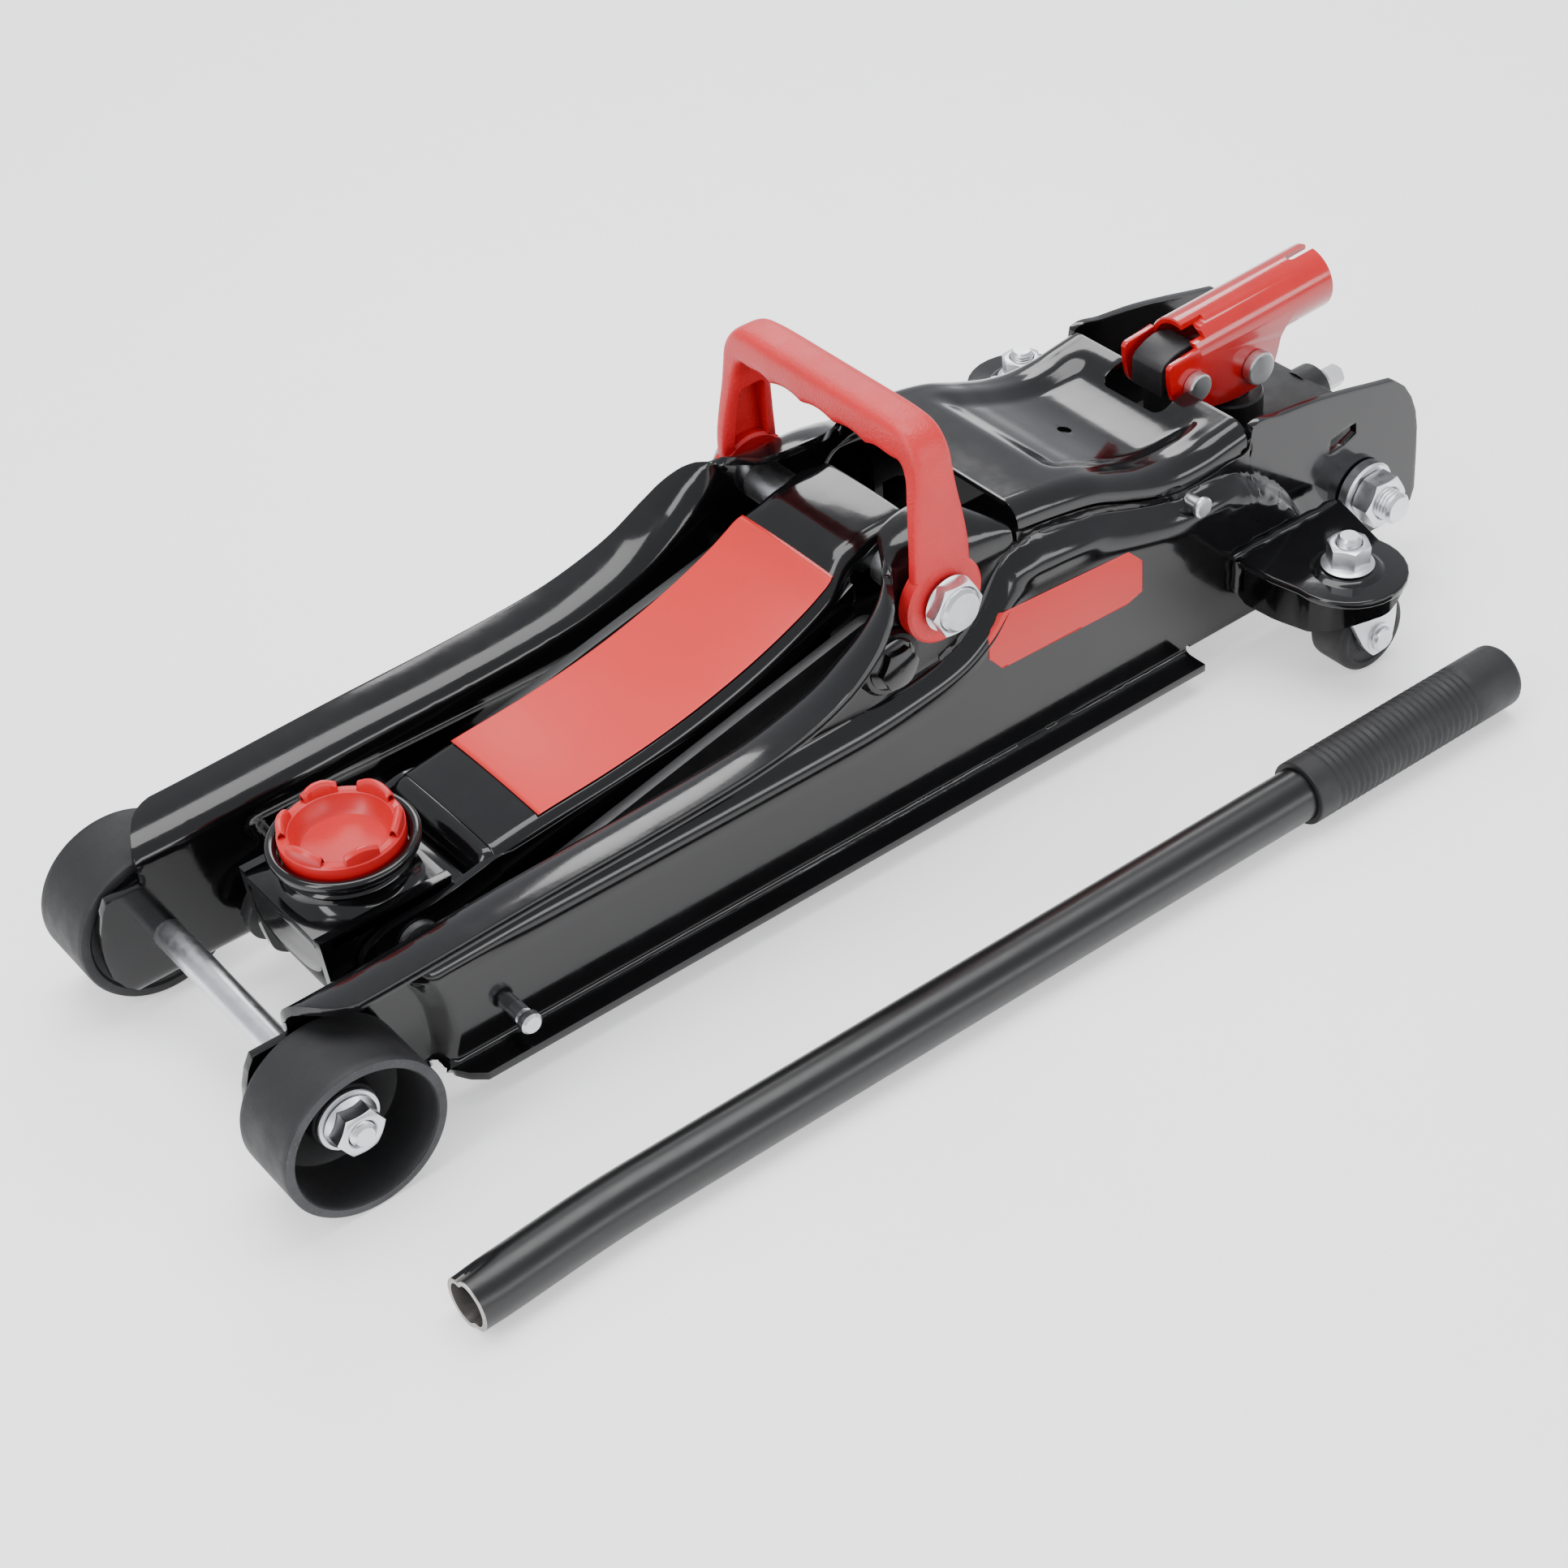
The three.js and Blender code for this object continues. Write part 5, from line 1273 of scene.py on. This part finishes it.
class JACK_OT_casters(bpy.types.Operator):
    """Caster wings welded to the side plates, with swivelling forks and small wheels"""
    bl_idname = "jack.casters"
    bl_label = "Casters"

    def execute(self, context):
        pair(caster_wing, "wing", "frame", *POWDER, ["caster_bracket_SIDE"])
        shank = [(0, 36.5), (7.2, 36.5), (8, 37.3), (8, 39.5), (5, 39.5), (5, 49), (0, 49)]
        pair(lambda: join(bolt_end(5, 49, 66, CASTER, "z", 1.25), turned(shank, CASTER, "z", 40)),
             "caster_stud", "frame", *ZINC, ["caster_bolt_SIDE"])
        pair(lambda: hex_body(16, 52, 62.8, CASTER, "z", bore=5.3, flange=(11, 1.4)), "caster_hex", "frame",
             *ZINC, ["caster_nut_SIDE"])
        pair(caster_fork, "fork_plate", "caster_SIDE", *ZINC, ["caster_fork_SIDE"])
        y = CASTER.y
        rivet = [(0, y - 16), (4.6, y - 16), (5.5, y - 15.2), (5.5, y - 13.9), (3.5, y - 13.8),
                 (3.5, y + 13.8), (5.5, y + 13.9), (5.5, y + 15.2), (4.6, y + 16), (0, y + 16)]
        pair(lambda: turned(rivet, CASTER_HUB, "y", 40), "caster_rivet", "caster_SIDE", *ZINC,
             ["caster_axle_SIDE"])
        pair(caster_wheel, "caster_roller", "caster_roller_SIDE", "moulded wheel", "wheel",
             ["caster_wheel_SIDE"])
        return {"FINISHED"}


# ---- handle bar ---------------------------------------------------------------------------------------

BAR = [(-7, -157.7, 11), (52, -153.8, 11), (497, -159.2, 14.4)]


class JACK_OT_bar(bpy.types.Operator):
    """Loose handle bar: bent tube with a crimped raw end, and its ribbed grip"""
    bl_idname = "jack.bar"
    bl_label = "Handle bar"

    def execute(self, context):
        front, bend, rear = (Vector(p) for p in BAR)
        ahead, along_bar = (bend - front).normalized(), (rear - bend).normalized()
        self.tube(front, bend, rear, ahead, along_bar)
        self.grip(rear, along_bar, context.scene.jack_sizes.grip_ribs)
        return {"FINISHED"}

    def tube(self, front, bend, rear, ahead, along_bar):
        """Outer and inner skins of the bent tube, dented where it is crimped, raw inside."""
        first, last = bend - ahead * 16, bend + along_bar * 16
        path = [front + ahead * d for d in (0, 1.5, 3, 5, 8, 12, 18, 26, 34)]
        for k in range(13):
            t = k / 12
            path.append(first * (1 - t) ** 2 + bend * 2 * t * (1 - t) + last * t * t)
        path += [last + (rear - along_bar * 4 - last) * k / 12 for k in range(1, 13)]
        run = [0.0]
        for a, b in zip(path, path[1:]):
            run.append(run[-1] + (b - a).length)
        skins = []
        for radius in (11, 9.1):
            def surface(u, v):
                s = u * (len(path) - 1)
                i = min(int(s), len(path) - 2)
                spot, way = path[i].lerp(path[i + 1], s - i), (path[i + 1] - path[i]).normalized()
                reach = run[i] + (run[i + 1] - run[i]) * (s - i)
                side = way.cross(Vector((0, 0, 1))).normalized()
                a = math.tau * v
                dent = (1 - smoothstep(0, 20, reach)) * (
                    2.0 * math.exp(-((a - 2.0) / 0.26) ** 2) + 1.6 * math.exp(-((a - 5.1) / 0.28) ** 2))
                r = radius - dent - 0.5 * (1 - smoothstep(0, 12, reach)) * (0.5 + 0.5 * math.cos(2 * a))
                return spot + (side * math.cos(a) + side.cross(way) * math.sin(a)) * r
            skin = formed(surface, 132, 64)
            bmesh.ops.remove_doubles(skin, verts=skin.verts, dist=1e-3)
            skins.append(skin)
        bmesh.ops.reverse_faces(skins[1], faces=skins[1].faces)
        whole = join(*skins)
        rims = [e for e in whole.edges if e.is_boundary]
        bmesh.ops.bridge_loops(whole, edges=[e for e in rims if e.verts[0].co.x < 100])
        bmesh.ops.bridge_loops(whole, edges=[e for e in whole.edges if e.is_boundary])
        bmesh.ops.recalc_face_normals(whole, faces=whole.faces)
        bar = finish_piece(whole, "bar_tube", "bar", "satin coat", "black_paint", ["handle_bar"])
        bar.data.materials.append(bpy.data.materials["raw steel"])
        back = PLACE.inverted()
        for polygon in bar.data.polygons:
            spot = back @ polygon.center - front
            depth, off = spot.dot(ahead), spot.cross(ahead).length
            if depth < 0.4 or (depth < 60 and off < 9.45):
                polygon.material_index = 1

    def grip(self, rear, along_bar, ribs):
        """The grip: a sleeve ribbed over its middle, with a rounded closed end."""
        long, outer, pitch = 114.0, 13.5, 80.0 / ribs
        profile = [(11.2, 0), (13.1, 0), (outer, 0.5), (outer, 9)]
        for k in range(ribs):
            z = 10 + k * pitch
            profile += [(outer, z), (12.95, z + 0.28 * pitch), (12.95, z + 0.46 * pitch),
                        (outer, z + 0.74 * pitch)]
        profile += [(outer, 92), (outer, long - 3), (13.3, long - 1.6), (12.5, long - 0.5), (11.4, long),
                    (4, long), (3.4, long - 0.7), (0, long - 0.9), (0, long - 3.4), (11.2, long - 3.4),
                    (11.2, 0)]
        turn = along_bar.to_track_quat("Z", "Y").to_matrix().to_4x4()
        spot = Matrix.Translation(rear - along_bar * long) @ turn
        sleeve = moved(turned(profile, (0, 0, 0), "z", 72), spot)
        finish_piece(sleeve, "bar_handgrip", "bar", "ribbed rubber", "grip", ["bar_grip"])


# ---- printed patches ----------------------------------------------------------------------------------

class JACK_OT_patches(bpy.types.Operator):
    """Blank printed patches on the outside of both side plates"""
    bl_idname = "jack.patches"
    bl_label = "Side patches"

    def execute(self, context):
        outline = [(308.4, 81.3), (308, 65.1), (314.9, 57.1), (381.2, 54.8), (389.6, 57.5), (389.3, 72.8),
                   (381.7, 80.4), (317.6, 83.7)]

        def surface(u, v):
            x, z = 306 + 86 * u, 53 + 32 * v
            return Vector((x, web_offset(x, z) + SHEET / 2 + 0.14, z))

        def patch():
            bm = formed(surface, 60, 24)
            trim(bm, [(point, -normal) for point, normal in fence(outline + outline[:1])])
            return bm
        pair(patch, "side_patch", "frame", *LABEL, modifiers=[walls(0.16)])
        return {"FINISHED"}


# ---- floor, light and camera -------------------------------------------------------------------

class JACK_OT_stage(bpy.types.Operator):
    """Pale floor, soft studio lights and the camera"""
    bl_idname = "jack.stage"
    bl_label = "Stage"

    def execute(self, context):
        scene = context.scene
        bm = bmesh.new()
        bmesh.ops.create_grid(bm, x_segments=1, y_segments=1, size=14)
        floor = linked(bm, "floor")
        floor.location = (0, 0, -0.0002)
        floor.data.materials.append(bpy.data.materials["pale floor"])

        world = bpy.data.worlds.new("studio")
        scene.world = world
        world.use_nodes = True
        world.node_tree.nodes["Background"].inputs["Color"].default_value = (0.93, 0.95, 1.0, 1)
        world.node_tree.nodes["Background"].inputs["Strength"].default_value = 0.85
        for name, spot, aim, size, power in (
                ("overhead", (0.1, 0.2, 1.5), (0, 0, 0), (1.6, 0.8), 26),
                ("left strip", (-1.3, -0.2, 0.9), (0, 0, 0.05), (0.4, 1.4), 14),
                ("front wide", (0.5, -1.6, 0.55), (0, 0, 0.05), (1.8, 0.35), 12),
                ("back", (0.95, 1.35, 1.2), (0, 0, 0.05), (1.0, 0.5), 12)):
            light = bpy.data.lights.new(name, "AREA")
            light.shape = "RECTANGLE"
            light.size, light.size_y = size
            light.energy = power
            lamp = bpy.data.objects.new(name, light)
            lamp.location = spot
            lamp.rotation_euler = (Vector(aim) - Vector(spot)).to_track_quat("-Z", "Y").to_euler()
            scene.collection.objects.link(lamp)

        right = Vector((0.78558, -0.61555, -0.06296))
        up = Vector((0.42948, 0.46920, 0.77162))
        back = Vector((-0.44543, -0.63321, 0.63296))
        place = PLACE @ Vector((-289.4, -766.5, 763.0))
        camera = bpy.data.cameras.new("camera")
        camera.lens = 68.13
        camera.sensor_width = 36
        view = bpy.data.objects.new("camera", camera)
        view.matrix_world = Matrix((
            (right.x, up.x, back.x, place.x), (right.y, up.y, back.y, place.y),
            (right.z, up.z, back.z, place.z), (0, 0, 0, 1)))
        scene.collection.objects.link(view)
        scene.camera = view
        return {"FINISHED"}


class JACK_PT_panel(bpy.types.Panel):
    """Lists the jack's pieces, sizes and colours"""
    bl_idname = "JACK_PT_panel"
    bl_label = "Hydraulic floor jack"
    bl_space_type = "VIEW_3D"
    bl_region_type = "UI"
    bl_category = "Jack"

    def draw(self, context):
        for label, values in (("Sizes", context.scene.jack_sizes), ("Colours", context.scene.jack_colours)):
            block = self.layout.box()
            block.label(text=label)
            for name in values.__annotations__:
                block.prop(values, name)
        column = self.layout.column()
        for operator in OPERATORS:
            column.operator(operator.bl_idname)


OPERATORS = (
    JACK_OT_finishes, JACK_OT_side_plates, JACK_OT_cover, JACK_OT_arm, JACK_OT_saddle,
    JACK_OT_links, JACK_OT_handle, JACK_OT_wheels, JACK_OT_pump, JACK_OT_socket,
    JACK_OT_hardware, JACK_OT_casters, JACK_OT_bar, JACK_OT_patches, JACK_OT_stage)
CLASSES = (JACK_PG_sizes, JACK_PG_colours, *OPERATORS, JACK_PT_panel)


def register():
    for item in CLASSES:
        bpy.utils.register_class(item)
    bpy.types.Scene.jack_sizes = bpy.props.PointerProperty(type=JACK_PG_sizes)
    bpy.types.Scene.jack_colours = bpy.props.PointerProperty(type=JACK_PG_colours)


def unregister():
    del bpy.types.Scene.jack_colours
    del bpy.types.Scene.jack_sizes
    for item in reversed(CLASSES):
        bpy.utils.unregister_class(item)


def main():
    register()
    for operator in OPERATORS:
        package, name = operator.bl_idname.split(".")
        getattr(getattr(bpy.ops, package), name)()


if __name__ == "__main__":
    main()
